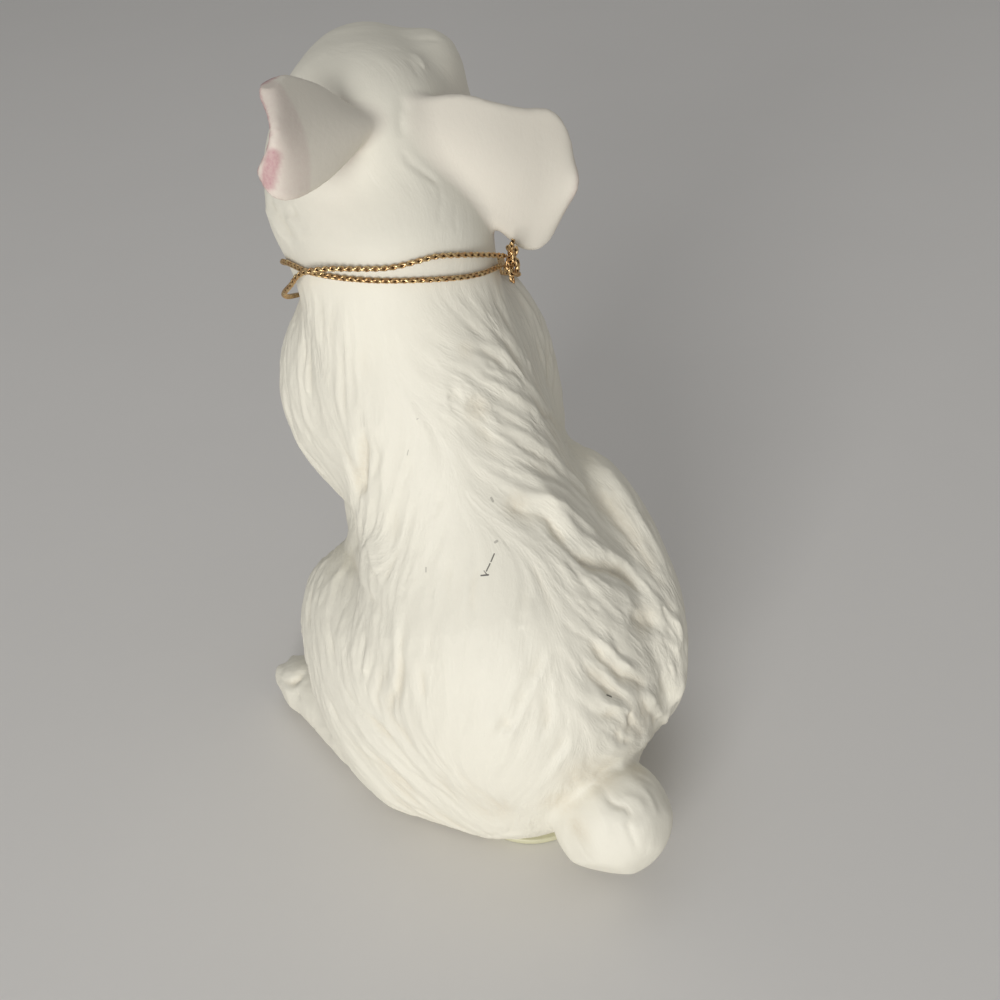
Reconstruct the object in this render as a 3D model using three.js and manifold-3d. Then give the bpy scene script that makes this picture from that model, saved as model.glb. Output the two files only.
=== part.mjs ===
// Seated rabbit figurine of unglazed porcelain, with a gold cord tied round its neck.
// Millimetres. +Z is up, the rabbit looks along -Y, and +X is its left.
// Each casting is a sum of swelling masses, wrapped in one skin and then cut where it is joined on.
import * as THREE from 'three';
import { mergeVertices } from 'three/addons/utils/BufferGeometryUtils.js';
import Module from 'manifold-3d';

const wasm = await Module();
wasm.setup();

// Driving dimensions

const SEAM = 0.3;
const PAD_DIAMETER = 27.4;
const PAD_THICKNESS = 1.5;
const REAR_PAD_AT = [1.9, 19.7];
const FRONT_PAD_AT = [0, -17];
const VENT_DIAMETER = 7;
const VENT_DEPTH = 12;
const VENT_AT = [0, 1.5];
const CORD_DIAMETER = 1.1;
const CORD_SEAT = 0.35;
const KNOT_RADIUS = 1.9;
const CORD_END_LENGTH = 3.2;
const CORD_END_LEAN = 0.8;
const EAR_THICKNESS = 3;
const BASE_Z = PAD_THICKNESS + SEAM;

// Masses of the body: centre, radii, turn in degrees. A taper runs between two points.

const RUMP = { centre: [0, 14, 34], radii: [30, 31, 34] };
const SEAT = { centre: [1, 0, 13], radii: [31, 37, 19] };
const LOIN = { from: [0, 6, 52], to: [0, -10, 84], radii: [25, 20.5] };
const NECK = { from: [0, -12, 84], to: [-0.5, -17, 116], radii: [20.5, 20] };
const CHEST = { centre: [0.5, -27, 84], radii: [24.5, 19, 26], turn: [12, 0, 0] };
const BELLY = { centre: [0, -14, 32], radii: [25, 23, 30] };
const BREAST = { centre: [0, -33, 62], radii: [12, 13.5, 20], turn: [6, 0, 0] };
const LEFT_HAUNCH = { centre: [23, -9, 25.5], radii: [14.5, 30, 26], turn: [-18, 0, -6] };
const RIGHT_HAUNCH = { centre: [-24, 6.5, 35.5], radii: [13, 27, 31], turn: [-14, 0, 0] };
const LEFT_SHOULDER = { centre: [7, -28, 66], radii: [10, 12, 24], turn: [8, 0, 0] };
const RIGHT_SHOULDER = { centre: [-19.5, -20, 78], radii: [12, 13, 27], turn: [8, 0, 0] };

// The body's skin is wrapped round this spine, from the seat to the neck.
const BODY_SPINE = [[0, 0, 24], [0, -14, 98]];

// The head turns to the rabbit's right. Its masses are placed from its own centre.
const HEAD_CENTRE = [-3.5, -33, 134];
const HEAD_TURN = [0, 0, -29];
const SKULL = { centre: [0, 2, 0], radii: [18, 22, 18] };
const MUZZLE = { from: [0, -8, -1], to: [0, -22, -7], radii: [14.5, 8.2] };
const BROW = { centre: [8.5, -11, 8.5], radii: [6.8, 8.5, 7.5] };
const CHEEK = { centre: [12, -4, -9], radii: [10.5, 14, 12] };
const NAPE = { centre: [0, 9, -12], radii: [20, 14, 12] };
const HEAD_SPINE = [[0, 3, -2], [0, -9, -4]];

// The head joins the neck in a plane under the cord, high at the nape and low at the throat.
const NECK_JOINT = { centre: [0, -17, 111.7], lean: 20, tilt: 15 };
const COLLAR = { from: [0, -16, 106], to: [-0.5, -17, 116], radii: [20.2, 20] };
const THROAT = { from: [-1, -25, 106], to: [-5, -38, 122], radii: [15, 13] };

// Ears: root, reach along the ear, and the direction from its middle to its upper edge.
const LEFT_EAR = {
  root: [3, -16, 142.5], reach: [19, 6, 4.5], up: [-3, -4, 11.5], rootHalf: 2, tip: 10.5, cup: 7,
};
const RIGHT_EAR = {
  root: [-8.2, -13.2, 136.5], reach: [-24.3, 4.2, -12.8], up: [-5, -3, 11.5], rootHalf: 7, tip: 13, cup: 3,
};

// Tail, forelegs and hind feet
const TAIL = { centre: [-3, 44.5, 17], radii: [11.5, 11, 12.5], turn: [20, 0, 0] };
const TAIL_TIP = { centre: [-4, 49, 20], radii: [8, 8, 9] };
const FORELEG = { from: [7, -38, 50], to: [8.5, -41, 13], radii: [7, 6.2] };
const FOREPAW = { centre: [8.5, -46, 7.5], radii: [6.8, 10.5, 6.8] };
const LEFT_FOOT = { heel: [28, -10, 9], toe: [32, -33, 8], radii: [8, 6.5] };
const RIGHT_FOOT = { heel: [-30, 2, 9], toe: [-33, -28, 8], radii: [8, 6.5] };
const FOOT_TOES = { forward: 4, radii: [7, 8, 6.5] };

// Colours of the finishes
const bisque = new THREE.MeshStandardMaterial({ color: 0xebe7de, roughness: 0.75, metalness: 0 });
const goldBraid = new THREE.MeshStandardMaterial({ color: 0xb98d3f, roughness: 0.35, metalness: 0.9 });
const agedVinyl = new THREE.MeshStandardMaterial({ color: 0xcdcbaa, roughness: 0.6, metalness: 0 });

// Distance fields: negative inside a mass, about the distance in mm outside it

const vector = (values) => new THREE.Vector3(...values);

function rotation(degrees = [0, 0, 0]) {
  const [x, y, z] = degrees.map(THREE.MathUtils.degToRad);
  return new THREE.Matrix4().makeRotationFromEuler(new THREE.Euler(x, y, z, 'ZYX'));
}

function ellipsoid({ centre, radii, turn }) {
  const middle = vector(centre);
  const inverse = rotation(turn).invert();
  const [rx, ry, rz] = radii;
  const q = new THREE.Vector3();
  return (p) => {
    q.copy(p).sub(middle).applyMatrix4(inverse);
    const near = Math.hypot(q.x / rx, q.y / ry, q.z / rz);
    const slope = Math.hypot(q.x / (rx * rx), q.y / (ry * ry), q.z / (rz * rz));
    return (near * (near - 1)) / Math.max(slope, 1e-6);
  };
}

function taper({ from, to, radii }) {
  const start = vector(from);
  const span = vector(to).sub(start);
  const q = new THREE.Vector3();
  return (p) => {
    q.copy(p).sub(start);
    const along = THREE.MathUtils.clamp(q.dot(span) / span.lengthSq(), 0, 1);
    q.addScaledVector(span, -along);
    return q.length() - THREE.MathUtils.lerp(radii[0], radii[1], along);
  };
}

// Joins two fields with a fillet about `width` wide.
function joined(first, second, width) {
  return (p) => {
    const a = first(p);
    const b = second(p);
    const near = Math.max(width - Math.abs(a - b), 0) / width;
    return Math.min(a, b) - near * near * width * 0.25;
  };
}

function joinedAll(fields) {
  return fields.slice(1).reduce((sum, [field, width]) => joined(sum, field, width), fields[0]);
}

const mirrored = (mass) => {
  const flip = ([x, y, z]) => [-x, y, z];
  const turn = mass.turn && [mass.turn[0], -mass.turn[1], -mass.turn[2]];
  return mass.from
    ? { ...mass, from: flip(mass.from), to: flip(mass.to) }
    : { ...mass, centre: flip(mass.centre), turn };
};

const bodyField = joinedAll([
  ellipsoid(RUMP),
  [taper(LOIN), 14],
  [taper(NECK), 8],
  [ellipsoid(CHEST), 8],
  [ellipsoid(LEFT_HAUNCH), 8],
  [ellipsoid(RIGHT_HAUNCH), 9],
  [ellipsoid(LEFT_SHOULDER), 8],
  [ellipsoid(RIGHT_SHOULDER), 8],
  [ellipsoid(SEAT), 8],
  [ellipsoid(BELLY), 8],
  [ellipsoid(BREAST), 6],
]);

const headMatrix = rotation(HEAD_TURN).setPosition(vector(HEAD_CENTRE));

function headField() {
  const skull = joinedAll([
    ellipsoid(SKULL),
    [taper(MUZZLE), 8],
    [ellipsoid(CHEEK), 7],
    [ellipsoid(mirrored(CHEEK)), 7],
    [ellipsoid(BROW), 5],
    [ellipsoid(mirrored(BROW)), 5],
    [ellipsoid(NAPE), 7],
  ]);
  const inverse = headMatrix.clone().invert();
  const q = new THREE.Vector3();
  const placed = (p) => skull(q.copy(p).applyMatrix4(inverse));
  return joinedAll([placed, [taper(COLLAR), 6], [taper(THROAT), 6]]);
}

const wholeHeadField = headField();
const neckField = (p) => Math.min(bodyField(p), wholeHeadField(p));
const tailField = joined(ellipsoid(TAIL), ellipsoid(TAIL_TIP), 4);

function forelegField(side) {
  const leg = side > 0 ? FORELEG : mirrored(FORELEG);
  const paw = side > 0 ? FOREPAW : mirrored(FOREPAW);
  return joined(taper(leg), ellipsoid(paw), 5);
}

function footField({ heel, toe, radii }) {
  const [x, y, z] = toe;
  const toes = { centre: [x, y - FOOT_TOES.forward, z], radii: FOOT_TOES.radii };
  return joined(taper({ from: heel, to: toe, radii }), ellipsoid(toes), 4);
}

// Solids

function closed(geometry) {
  const bare = geometry.index ? geometry.toNonIndexed() : geometry.clone();
  bare.deleteAttribute('normal');
  bare.deleteAttribute('uv');
  return mergeVertices(bare, 1e-4);
}

function solid(geometry) {
  const mesh = closed(geometry);
  return new wasm.Manifold(new wasm.Mesh({
    numProp: 3,
    vertProperties: new Float32Array(mesh.attributes.position.array),
    triVerts: new Uint32Array(mesh.index.array),
  }));
}

function geometryOf(manifold) {
  const mesh = manifold.getMesh();
  const geometry = new THREE.BufferGeometry();
  geometry.setAttribute('position', new THREE.BufferAttribute(mesh.vertProperties, 3));
  geometry.setIndex(new THREE.BufferAttribute(mesh.triVerts, 1));
  geometry.computeVertexNormals();
  return geometry;
}

// Distance along a ray from inside a field to its skin, or to the level `offset` outside it.
function reach(field, origin, direction, offset = 0) {
  const leastStep = 0.5;
  const halvings = 12;
  const p = new THREE.Vector3();
  const value = (t) => field(p.copy(origin).addScaledVector(direction, t)) - offset;
  let inside = 0;
  let outside = 0;
  for (let depth = -value(0); depth > 0; depth = -value(outside)) {
    inside = outside;
    outside += Math.max(depth * 0.7, leastStep);
  }
  for (let i = 0; i < halvings; i += 1) {
    const middle = (inside + outside) / 2;
    if (value(middle) < 0) inside = middle;
    else outside = middle;
  }
  return (inside + outside) / 2;
}

// Wraps a capsule round the spine and lets each of its points out to the field's skin.
function wrapped(field, spine, { caps, rows, sides, offset = 0 }) {
  const [start, end] = spine.map(vector);
  const axis = end.clone().sub(start);
  const length = axis.length();
  const geometry = closed(new THREE.CapsuleGeometry(1, length, caps, sides, rows));
  const turn = new THREE.Quaternion().setFromUnitVectors(new THREE.Vector3(0, 1, 0), axis.normalize());
  const position = geometry.attributes.position;
  const middle = start.clone().lerp(end, 0.5);
  const point = new THREE.Vector3();
  for (let i = 0; i < position.count; i += 1) {
    point.fromBufferAttribute(position, i);
    const along = THREE.MathUtils.clamp(point.y, -length / 2, length / 2);
    const direction = point.clone().setY(point.y - along).normalize().applyQuaternion(turn);
    const origin = middle.clone().addScaledVector(axis, along);
    const far = reach(field, origin, direction, offset);
    point.copy(origin).addScaledVector(direction, far);
    position.setXYZ(i, point.x, point.y, point.z);
  }
  return solid(geometry);
}

const CUT_SIZE = 300;

// A block that fills the space above a plane through `centre`, `lift` above it.
function blockAbove({ centre, lean = 0, tilt = 0 }, lift = 0) {
  const block = new THREE.BoxGeometry(CUT_SIZE, CUT_SIZE, CUT_SIZE);
  block.translate(0, 0, CUT_SIZE / 2 + lift);
  block.applyMatrix4(rotation([lean, -tilt, 0]));
  block.translate(...centre);
  return solid(block);
}

function uprightCylinder(diameter, height, [x, y], bottom, sides) {
  const cylinder = new THREE.CylinderGeometry(diameter / 2, diameter / 2, height, sides);
  cylinder.rotateX(Math.PI / 2);
  cylinder.translate(x, y, bottom + height / 2);
  return cylinder;
}

const aboveBase = blockAbove({ centre: [0, 0, BASE_Z] });

// Castings

const BODY_MESH = { caps: 10, rows: 26, sides: 52 };
const HEAD_MESH = { caps: 11, rows: 5, sides: 40 };
const SMALL_MESH = { caps: 6, rows: 6, sides: 20 };
const wholeBody = wrapped(bodyField, BODY_SPINE, BODY_MESH);
const bodyWithSeam = wrapped(bodyField, BODY_SPINE, { ...BODY_MESH, offset: SEAM });
const headSpine = HEAD_SPINE.map((point) => vector(point).applyMatrix4(headMatrix).toArray());
const wholeHead = wrapped(wholeHeadField, headSpine, HEAD_MESH);
const headWithSeam = wrapped(wholeHeadField, headSpine, { ...HEAD_MESH, offset: SEAM });

function bodyCasting() {
  const vent = solid(uprightCylinder(VENT_DIAMETER, VENT_DEPTH + BASE_Z, VENT_AT, 0, 24));
  return geometryOf(wholeBody.intersect(aboveBase).subtract(blockAbove(NECK_JOINT, -SEAM)).subtract(vent));
}

function headCasting() {
  return geometryOf(wholeHead.intersect(blockAbove(NECK_JOINT)));
}

// One ring of an ear: a lens, bent to the depth of the cup, `half` wide each way.
function earRing({ root, reach: span, up, rootHalf, tip, cup }, t) {
  const along = vector(span).normalize();
  const across = vector(up).addScaledVector(along, -vector(up).dot(along)).normalize();
  const back = new THREE.Vector3().crossVectors(along, across);
  if (back.y < 0) back.negate();
  const round = Math.sqrt(Math.max(1 - Math.max(0, t - 0.82) ** 2 / 0.19 ** 2, 0.02));
  const half = THREE.MathUtils.lerp(rootHalf, tip, Math.sin((t * Math.PI) / 2)) * round;
  const middle = vector(root).addScaledVector(vector(span), t);
  const ring = [];
  const ringSides = 20;
  for (let i = 0; i < ringSides; i += 1) {
    const angle = (2 * Math.PI * i) / ringSides;
    const side = Math.cos(angle);
    const bend = cup * t * (0.5 - ((side * half) / tip) ** 2);
    const thick = Math.sin(angle) * (EAR_THICKNESS / 2) * (1.3 - 0.5 * t);
    ring.push(middle.clone().addScaledVector(across, side * half).addScaledVector(back, bend + thick));
  }
  return ring;
}

// Skins a row of rings of equal count, and closes both ends with a fan.
function loft(rings) {
  const count = rings[0].length;
  const corners = [];
  const middles = [rings[0], rings[rings.length - 1]].map((ring) => (
    ring.reduce((sum, point) => sum.add(point), new THREE.Vector3()).divideScalar(count)
  ));
  for (let r = 0; r + 1 < rings.length; r += 1) {
    for (let i = 0; i < count; i += 1) {
      const j = (i + 1) % count;
      corners.push(rings[r][i], rings[r][j], rings[r + 1][j]);
      corners.push(rings[r][i], rings[r + 1][j], rings[r + 1][i]);
    }
  }
  for (let i = 0; i < count; i += 1) {
    const j = (i + 1) % count;
    corners.push(middles[0], rings[0][j], rings[0][i]);
    corners.push(middles[1], rings[rings.length - 1][i], rings[rings.length - 1][j]);
  }
  return new THREE.BufferGeometry().setFromPoints(corners);
}

// Turns a closed skin's faces outward if its volume comes out negative.
function facingOut(geometry) {
  const p = geometry.attributes.position;
  const [a, b, c] = [0, 1, 2].map(() => new THREE.Vector3());
  let volume = 0;
  for (let i = 0; i < p.count; i += 3) {
    a.fromBufferAttribute(p, i);
    b.fromBufferAttribute(p, i + 1);
    c.fromBufferAttribute(p, i + 2);
    volume += a.dot(b.cross(c));
  }
  if (volume > 0) return geometry;
  for (let i = 0; i < p.count; i += 3) {
    a.fromBufferAttribute(p, i);
    b.fromBufferAttribute(p, i + 1);
    p.setXYZ(i, b.x, b.y, b.z);
    p.setXYZ(i + 1, a.x, a.y, a.z);
  }
  return geometry;
}

function earCasting(ear) {
  const stations = 14;
  const rings = Array.from({ length: stations }, (_, i) => earRing(ear, -0.1 + (1.1 * i) / (stations - 1)));
  return geometryOf(solid(facingOut(loft(rings))).subtract(headWithSeam));
}

function limbCasting(field, spine) {
  return geometryOf(wrapped(field, spine, SMALL_MESH).intersect(aboveBase).subtract(bodyWithSeam));
}

// Gold cord

const cordMatrix = rotation([NECK_JOINT.lean, -NECK_JOINT.tilt, 0]).setPosition(vector(NECK_JOINT.centre));

// The cord's route round the neck, from the knot and back to it: turns from the back of the neck
// towards the left, height over the ring's plane, and how far it stands off its seat.
// The first turn rides high at the back, crosses outside the second and hangs slack at the left.
const CORD_ROUTE = [
  [-0.05, 3.4, 1.9],
  [-0.025, 3.9, 0.8],
  [0, 4, 0],
  [0.04, 3.7, 0],
  [0.1, 2.6, 0.2],
  [0.16, 1.9, 0.9],
  [0.195, 1, 1.7],
  [0.235, -0.5, 1.9],
  [0.3, -2.6, 2.6],
  [0.36, -3.6, 2.4],
  [0.45, -4, 1.2],
  [0.6, -3.6, 0.4],
  [0.75, -2, 0],
  [0.86, -0.4, 0],
  [1, 0, 0],
  [1.12, 0, 0],
  [1.23, 0.6, 0],
  [1.33, 2, 0],
  [1.5, 2, 0],
  [1.65, 1.8, 0],
  [1.8, 1.1, 0.3],
  [1.85, 0.8, 0.9],
  [1.88, 0.6, 1.9],
];
const KNOT_PLACE = { turn: -0.08, height: 1.3 };
const CORD_STEPS = 72;

// A point of the ring round the neck, `standOff` outside the cord's seat.
function roundNeck(turn, height, standOff) {
  const angle = turn * 2 * Math.PI;
  const origin = new THREE.Vector3(0, 0, height).applyMatrix4(cordMatrix);
  const direction = new THREE.Vector3(Math.sin(angle), Math.cos(angle), 0).transformDirection(cordMatrix);
  const far = reach(neckField, origin, direction, CORD_DIAMETER / 2 + CORD_SEAT);
  return origin.addScaledVector(direction, far + standOff);
}

function cordPath() {
  const route = new THREE.CatmullRomCurve3(CORD_ROUTE.map((point) => vector(point)));
  return Array.from({ length: CORD_STEPS + 1 }, (_, i) => {
    const { x, y, z } = route.getPoint(i / CORD_STEPS);
    return roundNeck(x, y, z);
  });
}

// Least gap between stretches of a strand that lie more than a quarter of a turn apart on it.
function leastGap(points, diameter) {
  const apart = Math.round(points.length / 8);
  let least = Infinity;
  points.forEach((point, i) => {
    points.slice(i + apart).forEach((other) => {
      least = Math.min(least, point.distanceTo(other));
    });
  });
  return least - diameter;
}

function strand(points, diameter, sides) {
  const outline = Array.from({ length: sides }, (_, i) => {
    const angle = (2 * Math.PI * i) / sides;
    return new THREE.Vector2((diameter / 2) * Math.cos(angle), (diameter / 2) * Math.sin(angle));
  });
  return closed(new THREE.ExtrudeGeometry(new THREE.Shape(outline), {
    steps: points.length - 1,
    bevelEnabled: false,
    extrudePath: new THREE.CatmullRomCurve3(points),
  }));
}

function neckCord() {
  const points = cordPath();
  console.log('least gap of neck_cord to itself, mm:', leastGap(points, CORD_DIAMETER).toFixed(2));
  return strand(points, CORD_DIAMETER, 6);
}

const knotOut = new THREE.Vector3(
  Math.sin(KNOT_PLACE.turn * 2 * Math.PI), Math.cos(KNOT_PLACE.turn * 2 * Math.PI), 0,
).transformDirection(cordMatrix);
const knotHalf = KNOT_RADIUS / 2 + CORD_DIAMETER / 2;
const knotAt = roundNeck(KNOT_PLACE.turn, KNOT_PLACE.height, knotHalf + CORD_DIAMETER / 2 + CORD_SEAT);

// The knot is a trefoil, laid flat against the neck.
function cordKnot() {
  const knot = new THREE.TorusKnotGeometry(KNOT_RADIUS, CORD_DIAMETER / 2, 42, 6, 2, 3);
  const turn = new THREE.Quaternion().setFromUnitVectors(new THREE.Vector3(0, 0, 1), knotOut);
  knot.applyQuaternion(turn);
  knot.translate(...knotAt);
  return closed(knot);
}

const knotGeometry = cordKnot();

function distanceToKnot(point) {
  const skin = knotGeometry.attributes.position;
  const corner = new THREE.Vector3();
  let least = Infinity;
  for (let i = 0; i < skin.count; i += 1) {
    least = Math.min(least, corner.fromBufferAttribute(skin, i).distanceTo(point));
  }
  return least;
}

// A cut end starts just clear of the knot and leans off the neck.
function cordEnd(direction) {
  const away = vector(direction).normalize();
  const clear = CORD_DIAMETER / 2 + CORD_SEAT;
  const inward = CORD_SEAT / 4;
  const start = knotAt.clone().addScaledVector(away, KNOT_RADIUS * 1.5 + clear);
  while (distanceToKnot(start) > clear + inward) start.addScaledVector(away, -inward);
  const end = start.clone().addScaledVector(away, CORD_END_LENGTH).addScaledVector(knotOut, CORD_END_LEAN);
  const bend = start.clone().lerp(end, 0.5).addScaledVector(knotOut, -CORD_END_LEAN / 4);
  return strand(new THREE.CatmullRomCurve3([start, bend, end]).getPoints(6), CORD_DIAMETER, 6);
}

// The figurine

const figurine = new THREE.Group();

function add(name, geometry, material) {
  const mesh = new THREE.Mesh(geometry, material);
  mesh.name = name;
  figurine.add(mesh);
  return mesh;
}

add('body_casting', bodyCasting(), bisque);
add('head_casting', headCasting(), bisque);
add('left_ear', earCasting(LEFT_EAR), bisque);
add('right_ear', earCasting(RIGHT_EAR), bisque);
add('tail', limbCasting(tailField, [[-3, 43, 15], [-3.5, 47, 19]]), bisque);
add('left_foreleg', limbCasting(forelegField(1), [FORELEG.from, [10, -42, 8]]), bisque);
add('right_foreleg', limbCasting(forelegField(-1), [mirrored(FORELEG).from, [-10, -42, 8]]), bisque);
add('left_hind_foot', limbCasting(footField(LEFT_FOOT), [LEFT_FOOT.heel, LEFT_FOOT.toe]), bisque);
add('right_hind_foot', limbCasting(footField(RIGHT_FOOT), [RIGHT_FOOT.heel, RIGHT_FOOT.toe]), bisque);
add('neck_cord', neckCord(), goldBraid);
add('cord_knot', knotGeometry, goldBraid);
add('cord_end_lower', cordEnd([0.1, -0.15, -1]), goldBraid);
add('cord_end_upper', cordEnd([0.2, 0.35, 1]), goldBraid);
add('rear_pad', closed(uprightCylinder(PAD_DIAMETER, PAD_THICKNESS, REAR_PAD_AT, 0, 48)), agedVinyl);
add('front_pad', closed(uprightCylinder(PAD_DIAMETER, PAD_THICKNESS, FRONT_PAD_AT, 0, 48)), agedVinyl);

// The origin is under the middle of the figurine, on the surface that it stands on.
const bounds = new THREE.Box3().setFromObject(figurine);
const middle = bounds.getCenter(new THREE.Vector3());
figurine.position.set(-middle.x, -middle.y, -bounds.min.z);

export default figurine;
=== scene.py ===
"""Seated rabbit figurine of unglazed white porcelain, carved with fur and tied with a braided gold cord.

The castings are one swelling skin, summed from the sculptor's masses, carved along the lie of the fur,
and then parted where the real castings were joined. Sizes of the masses are in millimetres, in the
figurine's own frame: +X is its left, -Y the way it faces, +Z up.
"""

import math

import bmesh
import bpy
import numpy as np
import openvdb
from mathutils import Matrix, Vector
from mathutils.bvhtree import BVHTree


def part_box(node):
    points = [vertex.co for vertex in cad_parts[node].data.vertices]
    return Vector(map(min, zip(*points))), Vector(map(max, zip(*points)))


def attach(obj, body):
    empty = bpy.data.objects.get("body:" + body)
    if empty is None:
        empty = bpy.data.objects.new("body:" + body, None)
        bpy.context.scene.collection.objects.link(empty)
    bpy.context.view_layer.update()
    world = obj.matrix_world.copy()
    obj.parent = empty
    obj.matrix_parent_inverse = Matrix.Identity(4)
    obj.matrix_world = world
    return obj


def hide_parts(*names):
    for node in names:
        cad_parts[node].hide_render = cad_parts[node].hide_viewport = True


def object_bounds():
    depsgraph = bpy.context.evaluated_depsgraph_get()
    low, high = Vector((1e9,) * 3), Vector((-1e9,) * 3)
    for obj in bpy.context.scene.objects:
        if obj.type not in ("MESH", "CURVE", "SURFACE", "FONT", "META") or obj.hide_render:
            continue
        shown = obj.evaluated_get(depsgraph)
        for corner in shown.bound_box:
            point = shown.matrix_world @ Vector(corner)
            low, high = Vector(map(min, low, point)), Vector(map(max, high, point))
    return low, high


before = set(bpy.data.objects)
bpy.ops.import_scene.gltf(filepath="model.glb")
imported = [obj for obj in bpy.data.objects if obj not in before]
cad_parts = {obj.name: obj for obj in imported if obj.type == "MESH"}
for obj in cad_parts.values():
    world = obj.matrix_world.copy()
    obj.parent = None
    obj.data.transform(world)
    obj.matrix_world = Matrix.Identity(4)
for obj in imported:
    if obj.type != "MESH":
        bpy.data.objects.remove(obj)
CAD_BOX = [list(corner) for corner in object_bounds()]

bl_info = {
    "name": "Porcelain Rabbit Figurine",
    "version": (1, 0, 0),
    "blender": (4, 5, 0),
    "location": "View3D > Sidebar > Figurine",
    "description": "Builds a seated porcelain rabbit with carved fur and a braided gold cord",
    "category": "Add Mesh",
}

MM = 0.001
FAR = 30.0
BODY = "root"

# Where the figurine's own frame lies in the model's frame: the rear pad says it.
REAR_PAD_AT = (1.9, 19.7)
pad_low, pad_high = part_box("rear_pad")
HOME = np.array([
    (pad_low.x + pad_high.x) / 2 / MM - REAR_PAD_AT[0],
    (pad_low.y + pad_high.y) / 2 / MM - REAR_PAD_AT[1],
    0.0,
])
BASE_Z = pad_high.z / MM

# Masses of the body: centre, radii, turn in degrees. A taper runs between two points.
RUMP = dict(centre=(0, 14, 34), radii=(30, 31, 34))
SEAT = dict(centre=(1, 0, 13), radii=(31, 37, 19))
LOIN = dict(start=(0, 6, 52), end=(0, -10, 84), radii=(25, 20.5))
NECK = dict(start=(1.6, -12.6, 84), end=(1.8, -17.5, 116), radii=(19.9, 18.8))
CHEST = dict(centre=(1.1, -27.2, 84), radii=(24.5, 19, 26), turn=(12, 0, 0))
BELLY = dict(centre=(0, -14, 32), radii=(25, 23, 30))
BREAST = dict(centre=(0, -33, 62), radii=(12, 13.5, 20), turn=(6, 0, 0))
LEFT_HAUNCH = dict(centre=(23, -9, 25.2), radii=(14.5, 29.6, 25.2), turn=(-18, 0, -6))
RIGHT_HAUNCH = dict(centre=(-25, 8, 33), radii=(12, 27, 31), turn=(-14, 0, 0))
RIGHT_KNEE = dict(centre=(-26, 2.2, 39.2), radii=(11, 23.5, 31.8), turn=(-10, 0, 0))
LEFT_SHOULDER = dict(centre=(7, -28, 66), radii=(10, 12, 24), turn=(8, 0, 0))
RIGHT_SHOULDER = dict(centre=(-19.5, -20, 78), radii=(12, 13, 27), turn=(8, 0, 0))

# The head turns to the rabbit's right. Its masses are placed from its own centre.
HEAD_CENTRE = (-3.5, -33, 134)
HEAD_TURN = (0, 0, -29)
SKULL = dict(centre=(0.6, 2, 0), radii=(17.4, 22, 18))
MUZZLE = dict(start=(0, -8, -1), end=(0, -21, -7), radii=(14.5, 8.2))
LEFT_BROW = dict(centre=(1.5, -11, 8.2), radii=(8.5, 9, 7.2))
RIGHT_BROW = dict(centre=(-11.6, -11, 7.2), radii=(5.4, 8, 6.9))
CHEEK = dict(centre=(12, -4, -9), radii=(10.5, 14, 12))
NAPE = dict(centre=(0, 9, -12), radii=(20, 14, 12))
THROAT = dict(start=(-1, -25, 106), end=(-5, -38, 122), radii=(15, 13))
WHISKER_PAD = dict(centre=(3.4, -23.5, -8.6), radii=(4.2, 4, 4))
NOSE = dict(centre=(0, -26, -4.6), radii=(2.6, 1.9, 1.9))
NOSE_PAINT = (0, -28.6, -4.9)
EYE = dict(centre=(13.1, -10.5, 1.5), radii=(3.6, 3.8, 3.4))

# The castings are joined in a plane under the cord, high at the nape and low at the throat.
NECK_JOINT = dict(centre=(0, -17, 111.7), lean=20, tilt=15)

TAIL = dict(centre=(-2.4, 44.7, 16), radii=(11.5, 11, 12.5), turn=(20, 0, 0))
TAIL_TIP = dict(centre=(-4.4, 48.8, 17.8), radii=(8.4, 8, 9.4))
TAIL_FACETS = (
    (0.5, 0.75, 0.45), (-0.45, 0.85, 0.3), (0, 0.5, 0.87), (-0.85, 0.3, 0.45), (0.9, 0.2, 0.1),
    (0.1, 0.95, -0.3), (-0.6, 0.6, -0.5), (0.6, 0.6, -0.5), (-0.55, 0.5, 0.75),
)
FORELEG = dict(start=(7, -38, 50), end=(8.5, -41, 13), radii=(7, 6.2))
FOREPAW = dict(centre=(8.5, -46, 7.5), radii=(6.8, 10.5, 6.8))
LEFT_FOOT = dict(start=(28.5, -10, 9), end=(33.4, -31, 7.2), radii=(8, 5.7))
RIGHT_FOOT = dict(start=(-30.5, 2, 9), end=(-34.2, -26, 7.2), radii=(8, 5.7))
TOES_FORWARD = 4
TOES = (5.8, 6.6, 5.3)

# Ears: root, reach along the ear, and the direction from its middle to its upper edge.
LEFT_EAR = dict(root=(3, -16, 142.5), reach=(19, 6, 4.5), up=(-3, -4, 11.5))
RIGHT_EAR = dict(root=(-8.2, -13.2, 136.5), reach=(-24.3, 4.2, -12.8), up=(-5, -3, 11.5))

CASTINGS = (
    "body_casting", "head_casting", "left_ear", "right_ear", "tail",
    "left_foreleg", "right_foreleg", "left_hind_foot", "right_hind_foot",
)


# Distance to the masses: negative inside, about the distance in mm outside

def turned(degrees):
    """Rotation matrix of a turn about X, then Y, then Z."""
    x, y, z = (math.radians(angle) for angle in degrees)
    turn = Matrix.Rotation(z, 3, "Z") @ Matrix.Rotation(y, 3, "Y") @ Matrix.Rotation(x, 3, "X")
    return np.array(turn, np.float32)


def unit(vectors, least=1e-9):
    """Vectors of length 1. Those shorter than `least` stay short."""
    return vectors / np.maximum(np.linalg.norm(vectors, axis=1, keepdims=True), least)


def grid_of(low, step, counts):
    """Points of a grid of cubes."""
    axes = [low[k] + step * np.arange(counts[k]) for k in range(3)]
    return np.stack(np.meshgrid(*axes, indexing="ij"), -1).reshape(-1, 3).astype(np.float32)


def inside(points, low, high):
    """Which points lie inside a box."""
    return np.nonzero(np.all((points > low) & (points < high), axis=1))[0]


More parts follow.
